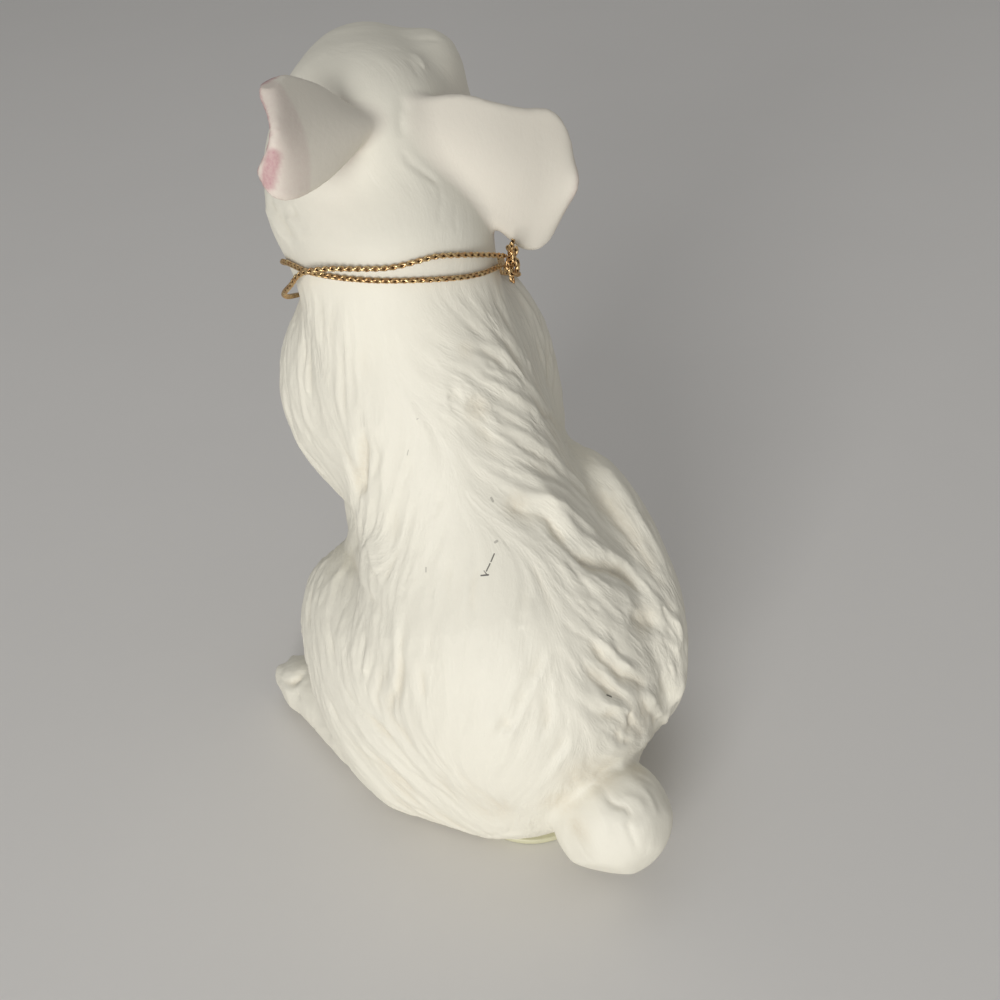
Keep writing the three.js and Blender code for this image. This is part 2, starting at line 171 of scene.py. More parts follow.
def ball(points, centre, radii, turn=None):
    q = points - np.array(centre, np.float32)
    if turn:
        q = q @ turned(turn)
    radii = np.array(radii, np.float32)
    near = np.linalg.norm(q / radii, axis=1)
    slope = np.linalg.norm(q / (radii * radii), axis=1)
    return near * (near - 1) / np.maximum(slope, 1e-6)


def taper(points, start, end, radii):
    start, end = np.array(start, np.float32), np.array(end, np.float32)
    span = end - start
    q = points - start
    along = np.clip(q @ span / (span @ span), 0, 1)
    return np.linalg.norm(q - along[:, None] * span, axis=1) - (radii[0] + (radii[1] - radii[0]) * along)


def mass(points, shape):
    return taper(points, **shape) if "start" in shape else ball(points, **shape)


def joined(first, second, width):
    """Joins two distances with a fillet about `width` wide."""
    near = np.maximum(width - np.abs(first - second), 0) / width
    return np.minimum(first, second) - near * near * width * 0.25


def other_side(shape):
    """The same mass on the rabbit's other side."""
    places = {key: (-shape[key][0], *shape[key][1:]) for key in ("centre", "start", "end") if key in shape}
    if "turn" in shape:
        places["turn"] = (shape["turn"][0], -shape["turn"][1], -shape["turn"][2])
    return {**shape, **places}


def swelling(points, shapes):
    """Sum of masses: the first shape, then pairs of a shape and its fillet."""
    total = mass(points, shapes[0])
    for shape, width in shapes[1:]:
        total = joined(total, mass(points, shape), width)
    return total


def body_distance(points):
    return swelling(points, [
        RUMP, (LOIN, 14), (NECK, 8), (CHEST, 8), (LEFT_HAUNCH, 8), (RIGHT_HAUNCH, 6.5), (RIGHT_KNEE, 4.5),
        (LEFT_SHOULDER, 8), (RIGHT_SHOULDER, 8), (SEAT, 8), (BELLY, 8), (BREAST, 6),
    ])


def in_head(points):
    """Points in the head's own frame."""
    return (points - np.array(HEAD_CENTRE, np.float32)) @ turned(HEAD_TURN)


def from_head(points):
    return np.array(points, np.float32) @ turned(HEAD_TURN).T + np.array(HEAD_CENTRE, np.float32)


def head_distance(points):
    q = in_head(points)
    skull = swelling(q, [
        SKULL, (MUZZLE, 8), (CHEEK, 7), (other_side(CHEEK), 7), (LEFT_BROW, 6), (RIGHT_BROW, 6), (NAPE, 7),
        (WHISKER_PAD, 2.5), (other_side(WHISKER_PAD), 2.5), (NOSE, 1.5),
    ])
    for eye in (EYE, other_side(EYE)):
        socket = ball(q, eye["centre"], [radius + 1.6 for radius in eye["radii"]])
        skull = -joined(-skull, socket + 1.2, 2)
        skull = joined(skull, mass(q, eye), 0.8)
    return joined(skull, mass(points, THROAT), 6)


def tail_distance(points):
    tail = swelling(points, [TAIL, (TAIL_TIP, 4)])
    middle = np.array((-3.5, 46.6, 16.9), np.float32)
    for facet in TAIL_FACETS:
        facet = np.array(facet, np.float32) / np.linalg.norm(facet)
        tail = -joined(-tail, 10.5 - (points - middle) @ facet, 0.9)
    return tail


def foreleg_distance(points, side):
    shapes = [FORELEG, (FOREPAW, 5)]
    paw_x, paw_y, paw_z = FOREPAW["centre"]
    for toe in (-1.5, -0.5, 0.5, 1.5):
        claw = dict(centre=(paw_x + toe * 3, paw_y - 7.4 + abs(toe), paw_z - 1.6), radii=(2.1, 4, 3.6))
        shapes.append((claw, 1))
    if side < 0:
        shapes = [other_side(shapes[0])] + [(other_side(shape), width) for shape, width in shapes[1:]]
    return swelling(points, shapes)


def foot_distance(points, foot):
    x, y, z = foot["end"]
    y -= TOES_FORWARD
    shapes = [foot, (dict(centre=(x, y, z), radii=TOES), 4)]
    for toe in (-1, 0, 1):
        shapes.append((dict(centre=(x + toe * 3.6, y - 4.6 + abs(toe) * 1.3, z - 0.9), radii=(2.4, 4, 3.9)), 1))
    return swelling(points, shapes)


def plane_height(points, centre, lean, tilt):
    """Height over a plane through `centre`."""
    normal = turned((lean, -tilt, 0)) @ np.array([0, 0, 1], np.float32)
    return (points - np.array(centre, np.float32)) @ normal


# Ears

def ear_frame(root, reach, up):
    root, reach, up = (np.array(value, float) for value in (root, reach, up))
    length = np.linalg.norm(reach)
    along = reach / length
    across = up - along * (up @ along)
    across /= np.linalg.norm(across)
    back = np.cross(along, across)
    if back[1] < 0:
        back = -back
    return root, length, along, across, back


def along_curve(line, stations):
    """Points on a smooth line through `line`, at fractions of its index."""
    line = np.array(line, float)
    ends = np.concatenate([[2 * line[0] - line[1]], line, [2 * line[-1] - line[-2]]])
    first = np.minimum(np.floor(stations).astype(int), len(line) - 2)
    t = (stations - first)[:, None]
    a, b, c, d = (ends[first + k] for k in range(4))
    return 0.5 * (2 * b + (c - a) * t + (2 * a - 5 * b + 4 * c - d) * t ** 2 + (3 * b - a - 3 * c + d) * t ** 3)


def lobe(ear, upper, lower, cup, tip, rows=26, sides=26):
    """Middle sheet of an ear between two edges. Each edge lists (along, across, backward) in mm, root to tip."""
    root, _, along, across, back = ear_frame(**ear)
    edges = [along_curve(edge, np.linspace(0, len(edge) - 1, rows)) for edge in (upper, lower)]
    share = np.linspace(0, 1, sides)[None, :, None]
    sheet = edges[0][:, None] + (edges[1] - edges[0])[:, None] * share
    t = np.linspace(0, 1, rows)[:, None]
    sheet[:, :, 2] += cup(t) * np.sin(share[:, :, 0] * np.pi)
    sheet[:, :, 0] += tip * t ** 3 * np.sin(share[:, :, 0] * np.pi)
    return sheet @ np.stack([along, across, back]) + root


LEFT_EAR_EDGES = dict(
    upper=[
        (-1, 1.2, -0.6), (3.1, 1.8, -0.5), (5.8, 3.4, -0.8), (10.4, 6.3, -0.8), (16.4, 8.3, -0.3), (21, 8.5, 0.7),
        (22.4, 6.6, 1.2),
    ],
    lower=[
        (-1, -1.6, -0.6), (4.2, -2, 1.1), (8.1, -3.7, 2.3), (15.2, -6.8, 4), (22.6, -8.6, 5.3), (26.2, -7.9, 5.2),
        (27.2, -4.9, 4),
    ],
    cup=lambda t: 1.2 + 3 * t,
    tip=0.8,
)
RIGHT_EAR_EDGES = dict(
    upper=[
        (-6, 5, -1.5), (1.8, 8.2, -0.6), (8.2, 8.7, 0), (14.5, 9.4, -0.4), (20.2, 10.7, -1.2), (24.1, 8, -1),
        (26.5, 3.8, -0.8),
    ],
    lower=[
        (-6, -3, -1.5), (2.8, -4.9, 0), (9.6, -8.4, 0.6), (16.2, -10.8, 0.4), (21.9, -12.7, -0.6), (25.6, -10.9, -1.2),
        (27.3, -4, -1),
    ],
    cup=lambda t: 1 + 1.4 * t,
    tip=0.5,
)
EAR_HALF = (1.5, 1.05)
EAR_FILLET = 7
EAR_REACH = EAR_FILLET + 2
EAR_CELL = 0.9
ear_grids = {}


def ear_grid(sheet):
    """Distance to an ear on a grid of cubes round it: from its middle sheet, less half its thickness."""
    rows, sides = sheet.shape[:2]
    index = np.arange(rows * sides).reshape(rows, sides)
    quads = np.stack([index[:-1, :-1], index[:-1, 1:], index[1:, 1:], index[1:, :-1]], -1).reshape(-1, 4)
    triangles = np.concatenate([quads[:, :3], quads[:, [0, 2, 3]]])
    corners = sheet.reshape(-1, 3)
    tree = BVHTree.FromPolygons([Vector(v) for v in corners], triangles.tolist())
    low = corners.min(0) - EAR_REACH
    counts = np.ceil((corners.max(0) + EAR_REACH - low) / EAR_CELL).astype(int) + 1
    root_half, tip_half = EAR_HALF
    values = np.empty(counts, np.float32)
    for cell in np.ndindex(*counts):
        _, _, face, away = tree.find_nearest(Vector(low + EAR_CELL * np.array(cell)))
        t = (face % len(quads)) // (sides - 1) / (rows - 2)
        values[cell] = away - root_half - (tip_half - root_half) * t
    return low.astype(np.float32), values


def ear_distance(points, name):
    """Distance to an ear within EAR_REACH of it, and FAR elsewhere."""
    if not ear_grids:
        ear_grids["left_ear"] = ear_grid(lobe(LEFT_EAR, **LEFT_EAR_EDGES))
        ear_grids["right_ear"] = ear_grid(lobe(RIGHT_EAR, **RIGHT_EAR_EDGES))
    low, values = ear_grids[name]
    distance = np.full(len(points), FAR, np.float32)
    picked = inside(points, low, low + EAR_CELL * (np.array(values.shape) - 1.01))
    q = (points[picked] - low) / EAR_CELL
    cell = np.floor(q).astype(int)
    f = q - cell
    total = np.zeros(len(picked), np.float32)
    for corner in np.ndindex(2, 2, 2):
        index = cell + corner
        weight = np.prod([f[:, k] if corner[k] else 1 - f[:, k] for k in range(3)], axis=0)
        total += weight * values[index[:, 0], index[:, 1], index[:, 2]]
    distance[picked] = total
    return distance


# The whole skin

NEAR_BOXES = {
    "head_casting": ((-40, -70, 92), (40, 16, 165)),
    "tail": ((-28, 26, -6), (22, 66, 42)),
    "left_foreleg": ((-8, -66, -6), (26, -22, 66)),
    "right_foreleg": ((-26, -66, -6), (8, -22, 66)),
    "left_hind_foot": ((10, -54, -6), (50, 8, 28)),
    "right_hind_foot": ((-50, -54, -6), (-10, 20, 28)),
}


def nearby(points, name, distance):
    """A part's distance close to it, and FAR elsewhere."""
    low, high = NEAR_BOXES[name]
    picked = inside(points, np.array(low), np.array(high))
    result = np.full(len(points), FAR, np.float32)
    if len(picked):
        result[picked] = distance(points[picked])
    return result


def parts_distance(points):
    """Distance to each casting, before they are joined."""
    return {
        "body_casting": body_distance(points),
        "head_casting": nearby(points, "head_casting", head_distance),
        "left_ear": ear_distance(points, "left_ear"),
        "right_ear": ear_distance(points, "right_ear"),
        "tail": nearby(points, "tail", tail_distance),
        "left_foreleg": nearby(points, "left_foreleg", lambda q: foreleg_distance(q, 1)),
        "right_foreleg": nearby(points, "right_foreleg", lambda q: foreleg_distance(q, -1)),
        "left_hind_foot": nearby(points, "left_hind_foot", lambda q: foot_distance(q, LEFT_FOOT)),
        "right_hind_foot": nearby(points, "right_hind_foot", lambda q: foot_distance(q, RIGHT_FOOT)),
    }


VENT = dict(centre=(0, 1.5), radius=3.5, depth=12)
FILLETS = {
    "head_casting": 6, "left_ear": 1.3, "right_ear": 1.8, "tail": 2,
    "left_foreleg": 4, "right_foreleg": 4, "left_hind_foot": 2.5, "right_hind_foot": 2.5,
}


def skin_distance(points, parts=None):
    parts = parts or parts_distance(points)
    total = parts["body_casting"]
    for name, width in FILLETS.items():
        total = joined(total, parts[name], width)
    floor = BASE_Z - points[:, 2]
    total = -joined(-total, -floor, 1.2)
    radius = np.hypot(points[:, 0] - VENT["centre"][0], points[:, 1] - VENT["centre"][1])
    vent = np.maximum(radius - VENT["radius"], points[:, 2] - BASE_Z - VENT["depth"])
    return np.maximum(total, -vent)


def slopes(distance, points, here, step=0.3):
    """Outward unit normals of a distance's skin, from its values at the points."""
    slope = np.zeros_like(points)
    for axis in range(3):
        shift = np.zeros(3, np.float32)
        shift[axis] = step
        slope[:, axis] = distance(points + shift) - here
    return unit(slope)


# Grid that the skin is found on: its cubes, its box, and how far from the skin distances count
VOXEL = 1.1
SKIN_BOX = np.array([(-44, -66, -4), (44, 62, 160)], np.float32)
BAND = 3.0


def rough_skin():
    """Quads over the whole skin, on a grid of cubes."""
    low, high = SKIN_BOX
    counts = np.ceil((high - low) / VOXEL).astype(int)
    values = skin_distance(grid_of(low, VOXEL, counts)).reshape(*counts)
    volume = openvdb.FloatGrid(background=BAND)
    volume.copyFromArray(np.clip(values, -BAND, BAND))
    vertices, quads = volume.convertToQuads(isovalue=0.0)
    # Stray cubes: every corner of their six quads has just three quads, all of the same kind
    stray = np.full(len(quads), True)
    for _ in range(2):
        stray = (np.bincount(quads[stray].ravel(), minlength=len(vertices))[quads] == 3).all(1)
    return vertices * VOXEL + low, quads[~stray]


def store(mesh, name, values):
    """Keeps numbers, UVs or vectors at the vertices of a mesh."""
    kind = ("FLOAT", "FLOAT2", "FLOAT_VECTOR")[values.size // len(values) - 1]
    data = mesh.attributes.new(name, kind, "POINT").data
    data.foreach_set("value" if kind == "FLOAT" else "vector", values.astype(np.float32).ravel())


def mesh_from(name, vertices, faces):
    mesh = bpy.data.meshes.new(name)
    mesh.from_pydata(vertices.tolist(), [], faces.tolist())
    mesh.update()
    return mesh


def finer(vertices, faces):
    """Catmull-Clark subdivision of the quads."""
    obj = bpy.data.objects.new("finer", mesh_from("finer", vertices, faces))
    bpy.context.scene.collection.objects.link(obj)
    obj.modifiers.new("Subdivision", "SUBSURF").levels = 1
    mesh = obj.evaluated_get(bpy.context.evaluated_depsgraph_get()).to_mesh()
    points = np.zeros(len(mesh.vertices) * 3, np.float32)
    mesh.vertices.foreach_get("co", points)
    corners = np.zeros(len(mesh.polygons) * 4, np.int32)
    mesh.polygons.foreach_get("vertices", corners)
    old = obj.data
    bpy.data.objects.remove(obj)
    bpy.data.meshes.remove(old)
    return points.reshape(-1, 3), corners.reshape(-1, 4)


def settled(points, rounds):
    """Moves points onto the skin."""
    for _ in range(rounds):
        here = skin_distance(points)
        normal = slopes(skin_distance, points, here)
        points = (points - here[:, None] * normal).astype(np.float32)
    return points


# Fur

# The carver's strokes: width and height in mm, a furrow below 0, and the line
STROKES = [
    (1.3, 0.35, (23.2, -29.7, 95.2), (25.7, -27.2, 83.2), (24.8, -25.7, 74.6), (22.7, -18, 72.9)),
    (0.6, -0.3, (20.6, -14.4, 112.4), (21.2, -18.6, 102.1), (22.9, -17.5, 94.4), (23.6, -15.1, 89)),
    (0.6, -0.38, (20.3, -27.8, 101.9), (23.9, -23.8, 93.8), (24.7, -20.9, 88.6), (24.5, -17.5, 83.3),
     (23.7, -14.4, 79.5)),
    (0.6, -0.34, (20.7, -20.9, 104.1), (23, -20.4, 95.2), (23.5, -16.9, 91.5), (23.6, -15.4, 89.3)),
    (0.7, 0.25, (20.3, -25, 103.2), (23.4, -21.9, 94.6), (24.3, -18.7, 88.5), (23.7, -13.5, 84.8), (22.5, -5.4, 82.8)),
    (0.6, -0.32, (24.7, -19, 86.1), (24.1, -15.4, 83.2), (23.2, -9.8, 81.2), (22.6, -5.6, 81.3)),
    (0.5, -0.25, (22.3, -30.6, 96.8), (24.7, -26.6, 91.5), (25.4, -24.4, 86.6)),
    (1.0, -0.2, (19.1, -8.3, 109.4), (20, -8.7, 102.2)),
    (0.5, -0.16, (19.4, -10.5, 115.8), (20.2, -11.7, 109.3), (20.6, -12, 104.7)),
    (0.5, -0.16, (18.7, -7.2, 107.8), (19.6, -6.9, 100.8)),
    (0.7, -0.3, (23.5, -12.2, 85.9), (22.5, -7, 85.6), (21.7, -3.4, 85.1)),
    (0.9, -0.4, (19.5, -1.3, 91.4), (20.6, -1.2, 86), (22.1, -2.5, 78.7), (22.2, -6.9, 69.1), (20.4, -18, 53.5)),
    (0.7, -0.3, (18, 1.1, 91.2), (18.6, 2.1, 87), (20.1, 1.5, 82.7)),
    (0.8, 0.3, (18.9, -0.1, 90.9), (20.4, 0.3, 83.7), (21.9, -0.8, 75.4), (23.2, -2.1, 66.4)),
    (0.7, -0.22, (13.7, 7, 88.3), (15.1, 7, 85.7), (16.4, 6.8, 83.4)),
    (0.6, -0.25, (10.9, 12.2, 82.3), (12.4, 12.6, 80.1), (13.7, 13, 78.1)),
    (0.7, -0.32, (16.7, 12.6, 74.5), (18.5, 12.9, 71.7), (20.3, 13.2, 68.8), (21.5, 13.9, 66.4)),
    (0.6, -0.2, (18.6, -22.9, 62.4), (13.9, -41, 40.3), (22.1, -14.6, 53.4)),
    (0.8, -0.42, (0, 3.7, 106.1), (-2, 3.8, 105), (-4.9, 3.8, 103.1), (-7.7, 4.1, 100.3), (-9.7, 4.5, 97.4),
     (-12.1, 4.8, 93.8), (-14.6, 4.5, 89.8), (-17.2, 3.9, 85)),
    (0.8, 0.3, (-4.1, 2.6, 106.9), (-6.7, 2.7, 104.1), (-9.5, 2.8, 100.8), (-11.3, 3.4, 97.6), (-12.5, 3.9, 95)),
    (0.6, -0.3, (-6.8, 1, 108.7), (-8.3, 0.9, 106.3), (-9.7, 1, 103.7), (-11.2, 1.3, 101), (-12.5, 2, 98),
     (-13.2, 3.1, 95.2), (-14.1, 3.7, 92.3)),
    (0.6, -0.3, (-10.8, -2.1, 110.6), (-11.8, -2.2, 107.1), (-13.1, -2, 103.5), (-14.3, -1.3, 99.9),
     (-15, -0.2, 97.2), (-15.5, 0.9, 94.6)),
    (0.9, 0.35, (-16.4, -4, 99), (-16.2, -1.6, 96.7), (-16.1, 0.5, 93.9), (-17.6, 0.8, 89.2), (-19.4, -0.2, 85)),
    (0.5, -0.25, (-23.3, -11.1, 95), (-23, -8.8, 91.3), (-22.9, -7, 87.5), (-22.8, -5.3, 82.9)),
    (0.5, -0.2, (-19.3, -13.4, 102.7), (-20.1, -11.4, 99.5), (-21.1, -9.5, 96)),
    (0.7, 0.35, (-8.7, 4.7, 98.3), (-10.1, 4.9, 96.4), (-11.7, 4.8, 94.4)),
    (0.8, -0.45, (-6.6, 5.7, 98.3), (-8.2, 6, 96.3), (-10.5, 6, 93.7), (-13.6, 5.4, 89.9), (-16.5, 4.8, 85.3),
     (-24.1, -5.2, 73.2), (-24.6, -3, 70.4)),
    (0.7, 0.3, (-6.5, 6.8, 96.3), (-8.8, 6.9, 93.9), (-11.5, 6.6, 90.9), (-14, 6.4, 87.6)),
    (0.6, -0.28, (-6.1, 7.6, 94.9), (-8.3, 7.6, 92.9), (-10.7, 7.5, 90.3), (-12.8, 7.6, 87.3)),
    (0.6, -0.28, (-3.8, 9.4, 92.3), (-6.3, 9.6, 90.5), (-8.7, 9.9, 88.1), (-11, 10.1, 85.5), (-13.4, 10.2, 82.3)),
    (0.7, 0.25, (-4.6, 8.6, 93.5), (-6.8, 8.8, 91.7), (-9.3, 9, 89.2), (-11.5, 9.1, 86.6)),
    (0.8, -0.45, (-2.5, 11.5, 88.8), (-4.5, 12, 87.4), (-7.4, 12.2, 85.3), (-10.3, 12.4, 82.5), (-13.3, 12.6, 79),
     (-15.3, 13.5, 75.6), (-17.7, 14, 71.9), (-20.2, 14.2, 68.7), (-21.7, 15.8, 67.1)),
    (0.8, 0.42, (-14.9, 7.8, 83.6), (-16.7, 7.9, 80.3), (-17.6, 8.6, 77.5), (-19.5, 8.2, 74)),
    (0.7, 0.3, (-11.9, 10.6, 83.6), (-14, 11.2, 80), (-16.1, 11.5, 76.7), (-19, 11.5, 72.1), (-20.8, 12.8, 69.1)),
    (0.6, -0.35, (-15.5, 8.1, 82.1), (-16.5, 9.1, 78.9), (-17.6, 10, 75.9), (-18.9, 10.9, 72.7), (-20.7, 11.5, 69.8)),
    (0.6, -0.25, (-2.6, 5.7, 100.6), (-4.9, 5.9, 99), (-6.8, 6.3, 97)),
    (0.5, -0.25, (-4.7, 4.7, 101.5), (-6.5, 5, 99.7)),
    (1.3, -0.4, (0.8, 7.6, 97.5), (0.3, 8.3, 95.9), (-0.3, 8.9, 94.5)),
    (2.4, -0.3, (4.7, 6.7, 98.5), (2.1, 7.1, 98.4)),
    (0.9, -0.25, (-0.3, 8.9, 94.5), (-0.6, 10.4, 91.2), (-0.8, 11.9, 88.4)),
    (0.5, -0.5, (3, 16.3, 80.9), (2.4, 16.8, 80.5)),
    (0.9, -0.3, (-5.4, 13.3, 84.6), (-8.5, 13.9, 81.8), (-11.2, 14.6, 78.7), (-13.6, 15.5, 75.3), (-16.3, 15.9, 72),
     (-19.4, 15.8, 68.4)),
    (0.9, 0.3, (-3.7, 14.4, 83.6), (-7.3, 15.1, 80.9), (-10.5, 15.8, 77.8), (-13.4, 16.4, 74.5), (-16.9, 16.6, 70.7)),
    (0.7, -0.3, (-0.2, 14, 84.9), (-2.6, 15.1, 82.9), (-4.9, 16.2, 80.5)),
    (3.2, 0.75, (-0.7, 15.6, 82.3), (-3.3, 16.5, 80.6), (-6.1, 17.6, 78.2), (-8.9, 18.6, 75.7), (-11.8, 19.7, 72.8),
     (-14.4, 21.1, 69.6), (-16.2, 23, 66.5), (-18, 24.3, 63.8)),
    (1.6, -0.95, (-0.7, 17.2, 80.1), (-0.8, 18.3, 78.6), (-2.2, 19.2, 77.4), (-4.4, 20, 76), (-6.4, 21.2, 74.2),
     (-7.3, 23.1, 72.1), (-7.9, 25.1, 70.1), (-9, 27.1, 67.8)),
    (0.9, -0.4, (-0.7, 20.4, 76.2), (-3, 21.8, 74.5), (-4.5, 23.9, 72.3), (-5.2, 26.1, 70.1)),
    (1.0, 0.4, (-2.3, 20.6, 75.9), (-4.4, 22.3, 73.7), (-5.4, 24.7, 71.2)),
    (1.5, 0.3, (-5.6, 24.7, 71.1), (-6.5, 26.7, 69.1), (-7.3, 28.8, 67), (-8.4, 30.6, 64.9), (-9.8, 31.9, 62.9)),
    (1.8, -0.95, (-7.4, 24.9, 70.4), (-8.5, 26.5, 68.6), (-10, 27.6, 66.9), (-12.5, 28.1, 65.1), (-15.7, 27.9, 62.9),
     (-18.6, 27.8, 60.2), (-20.1, 28.9, 57.6), (-20.7, 30.1, 55.7), (-20.6, 31.6, 53.7)),
    (0.9, -0.45, (-5.9, 26, 69.9), (-6.8, 28.2, 67.7), (-7.5, 30.4, 65.4), (-8.5, 32.2, 63.2), (-10, 33.2, 61.2)),
    (1.8, 0.5, (-22.1, 26.3, 59.2), (-22.6, 28.7, 56.5), (-22.7, 30.6, 54), (-23.2, 31.9, 51.8), (-23.7, 33.1, 49.2)),
    (1.0, 0.35, (-14.6, 25.6, 65.8), (-17.9, 25.5, 63), (-20.9, 26.1, 60.1), (-22.5, 27.8, 57.6)),
    (0.6, -0.3, (-11.4, 29.7, 64.3), (-14.8, 30.2, 61.2), (-18.4, 30.2, 57.6)),
    (0.6, -0.3, (-6.5, 33, 63.1), (-7.5, 34, 61.3), (-9.1, 34.5, 59.9)),
    (0.5, -0.3, (-13.1, -4.3, 109.3), (-14.5, -5.1, 105.6), (-15.4, -4.6, 102)),
    (0.4, -0.28, (-19.9, -13, 101.6), (-19.6, -10.1, 98.9), (-18.5, -6.4, 97)),
    (0.5, 0.3, (-21.1, -11.9, 99), (-21, -9.7, 96.4), (-20.6, -7.4, 93.9)),
    (0.6, 0.35, (-21.4, -9.8, 95.8), (-20.9, -7.2, 93), (-20, -4.1, 90.2), (-17.9, 0.3, 89.3)),
    (0.4, -0.3, (-19, -6.7, 96.2), (-17.7, -2.7, 94.5), (-16.5, 0.7, 92.5)),
    (0.5, 0.3, (-23.8, -9.7, 91.5), (-24, -8.4, 88.1), (-23.5, -6.9, 84.7)),
    (0.4, -0.28, (-25.5, -10.4, 89.4), (-24.3, -7.9, 85.8), (-21.6, -4, 84.1)),
    (0.5, 0.28, (-14.7, -1.6, 99.7), (-14.6, 0.1, 97.4), (-15.1, 1.2, 94.9)),
    (0.4, -0.3, (-10.5, 2, 100.7), (-11.8, 2.5, 98.3), (-13, 3.1, 95.5), (-14, 3.6, 92.7)),
    (0.4, -0.25, (-10.1, 5.2, 95.8), (-12.3, 5.1, 92.8), (-14.5, 5, 89.1), (-16.7, 4.6, 85.3)),
    (0.5, 0.3, (-12.8, 4, 94.2), (-15.5, 3.4, 90), (-18.3, 2.1, 85), (-24.7, -6.4, 74.8)),
    (0.4, -0.3, (-14.9, 6.6, 85.7), (-16.6, 6.6, 82.2), (-18.2, 6.6, 78.7)),
    (0.5, 0.3, (-28, -9.2, 69.4), (-27, -3.8, 69.2), (-24.7, 3.6, 70.9)),
    (0.4, -0.28, (-29, -8.6, 67.8), (-25.9, 0, 70.3), (-24.3, 5.8, 70.8)),
    (0.4, -0.25, (-8.5, 8.7, 90.5), (-10.8, 9, 87.7), (-12.6, 9.4, 84.5)),
    (0.5, 0.25, (-5.8, 10.3, 89.5), (-8, 10.6, 87.4), (-10.7, 10.9, 84.5), (-12.8, 11.4, 81.3)),
    (0.3, -0.22, (-6.3, 7.8, 94.2), (-8.6, 8, 91.7), (-10.9, 8.1, 89)),
    (0.4, -0.25, (-10.8, 17.9, 75.2), (-12.3, 18.8, 73.1), (-13.7, 20.1, 70.9)),
    (0.4, -0.22, (-6.1, 20.3, 75.2), (-7.5, 21.8, 73.2), (-8.4, 23.7, 71.1)),
    (0.4, -0.25, (-19.1, 18.5, 67), (-20.4, 20.6, 64.5), (-21, 23.1, 62.4)),
    (0.3, -0.22, (-15.6, 26.6, 64), (-18.1, 26.9, 61.6), (-19.8, 27.7, 59.2)),
    (0.4, -0.25, (-4.5, 32.8, 63.9), (-6.1, 34.4, 61.3), (-7.9, 35.7, 58.9)),
    (0.4, -0.25, (-5.4, 36.2, 59.1), (-7, 37.6, 56.2), (-8.4, 38.8, 53.3)),
    (0.4, 0.25, (-8, 36.8, 57.1), (-9.7, 37.9, 54.2), (-11.7, 38.4, 51.3)),
    (0.4, -0.28, (-5.1, 39, 54.5), (-7, 40.1, 51.5), (-9.2, 40.7, 48.4)),
    (0.3, -0.25, (-15.9, 36.8, 49.5), (-18.2, 36.7, 45.6), (-21.2, 36.3, 41.7)),
    (0.3, -0.25, (-15.9, 38.3, 45.4), (-18.5, 37.8, 40.8), (-20.7, 37.4, 35.6)),
    (0.4, -0.25, (-5.6, 42, 47.5), (-8, 42.4, 44.4), (-10.7, 42.3, 41.1)),
    (0.4, -0.25, (-23.3, 31, 53.2), (-24.5, 32.3, 50.4), (-25.1, 33.6, 47.3)),
    (0.3, -0.22, (-22.3, 34.7, 45.9), (-23.2, 35.5, 42.7), (-23.3, 36, 39.8)),
    (0.4, -0.25, (-1.2, 39.1, 55.3), (-2.5, 40.4, 52.6), (-3.5, 41.3, 50.2)),
    (2.0, -0.85, (-24.6, 8, 70.5), (-23.2, 12.4, 68.9), (-23, 16.3, 66.8), (-23.4, 19.8, 64.4), (-24.2, 23.2, 61.5),
     (-25.1, 26, 58.6), (-25.2, 28.3, 56)),
    (1.0, 0.25, (-27.4, 9.1, 70), (-27.5, 13.3, 68.3), (-27.8, 16.5, 66.1), (-27.9, 19.5, 63.7), (-27.5, 22.2, 61.3)),
    (0.6, -0.3, (-30.9, 14.6, 64.3), (-30.3, 18.3, 62.3), (-30, 21.2, 60)),
    (0.6, -0.3, (-25.2, 11.1, 69.6), (-25.5, 15, 67.7), (-26.3, 18.1, 65.5)),
    (0.7, 0.2, (-21.7, 19, 65.1), (-22.7, 21.6, 63.1), (-23.6, 24.4, 60.5), (-24.1, 26.8, 58.1)),
    (2.2, -0.95, (-15, 34.2, 55.6), (-18.1, 33.6, 52.8), (-20.4, 33.6, 50.3), (-22.3, 34.1, 47.6)),
    (1.2, 0.55, (-14.3, 33.2, 57.8), (-18, 32.4, 54.8), (-21.2, 32.4, 51.9), (-23.5, 33.1, 49.4)),
    (1.3, 0.6, (-26.7, 32, 49.6), (-27.3, 33.1, 46.1), (-26.9, 34.4, 42.7), (-24.5, 35.4, 42)),
    (1.2, 0.5, (-17, 35.2, 51.2), (-20, 34.7, 48.1), (-22.8, 34.7, 45.6)),
    (1.1, -0.65, (-4.2, 37.2, 57.9), (-5.2, 38.4, 55.7), (-6.3, 39.6, 53), (-8.2, 40.3, 50.2), (-10.3, 40.7, 47.2),
     (-13.4, 40.3, 43.9), (-17, 39.1, 39.7)),
    (1.2, 0.6, (-6.3, 37.4, 56.9), (-8.3, 38.6, 53.8), (-10.5, 39.5, 50.1), (-12.9, 39.8, 46.4)),
    (0.6, -0.35, (-9, 37.9, 54.6), (-11, 38.7, 51.3), (-12.8, 39, 48.7)),
    (0.9, -0.5, (-2.1, 40.2, 52.9), (-3.4, 41.2, 50.5), (-5, 41.9, 48), (-6.2, 42.5, 45.7)),
    (1.3, 0.5, (-0.3, 41.2, 50.9), (-2.1, 42.4, 47.8), (-4.9, 43.1, 44.6), (-8, 43, 42.2)),
    (0.9, -0.4, (2.2, 41.4, 50.4), (0, 42.9, 46.7), (-2.9, 43.7, 43.5), (-6.8, 43.4, 41.6)),
    (0.7, -0.45, (-10.5, 42.6, 40.1), (-9.2, 43.3, 38.1), (-9.8, 43.3, 35)),
    (1.5, 0.6, (-15.4, 40, 40.3), (-17.5, 39.3, 34.6), (-20.9, 36.1, 26)),
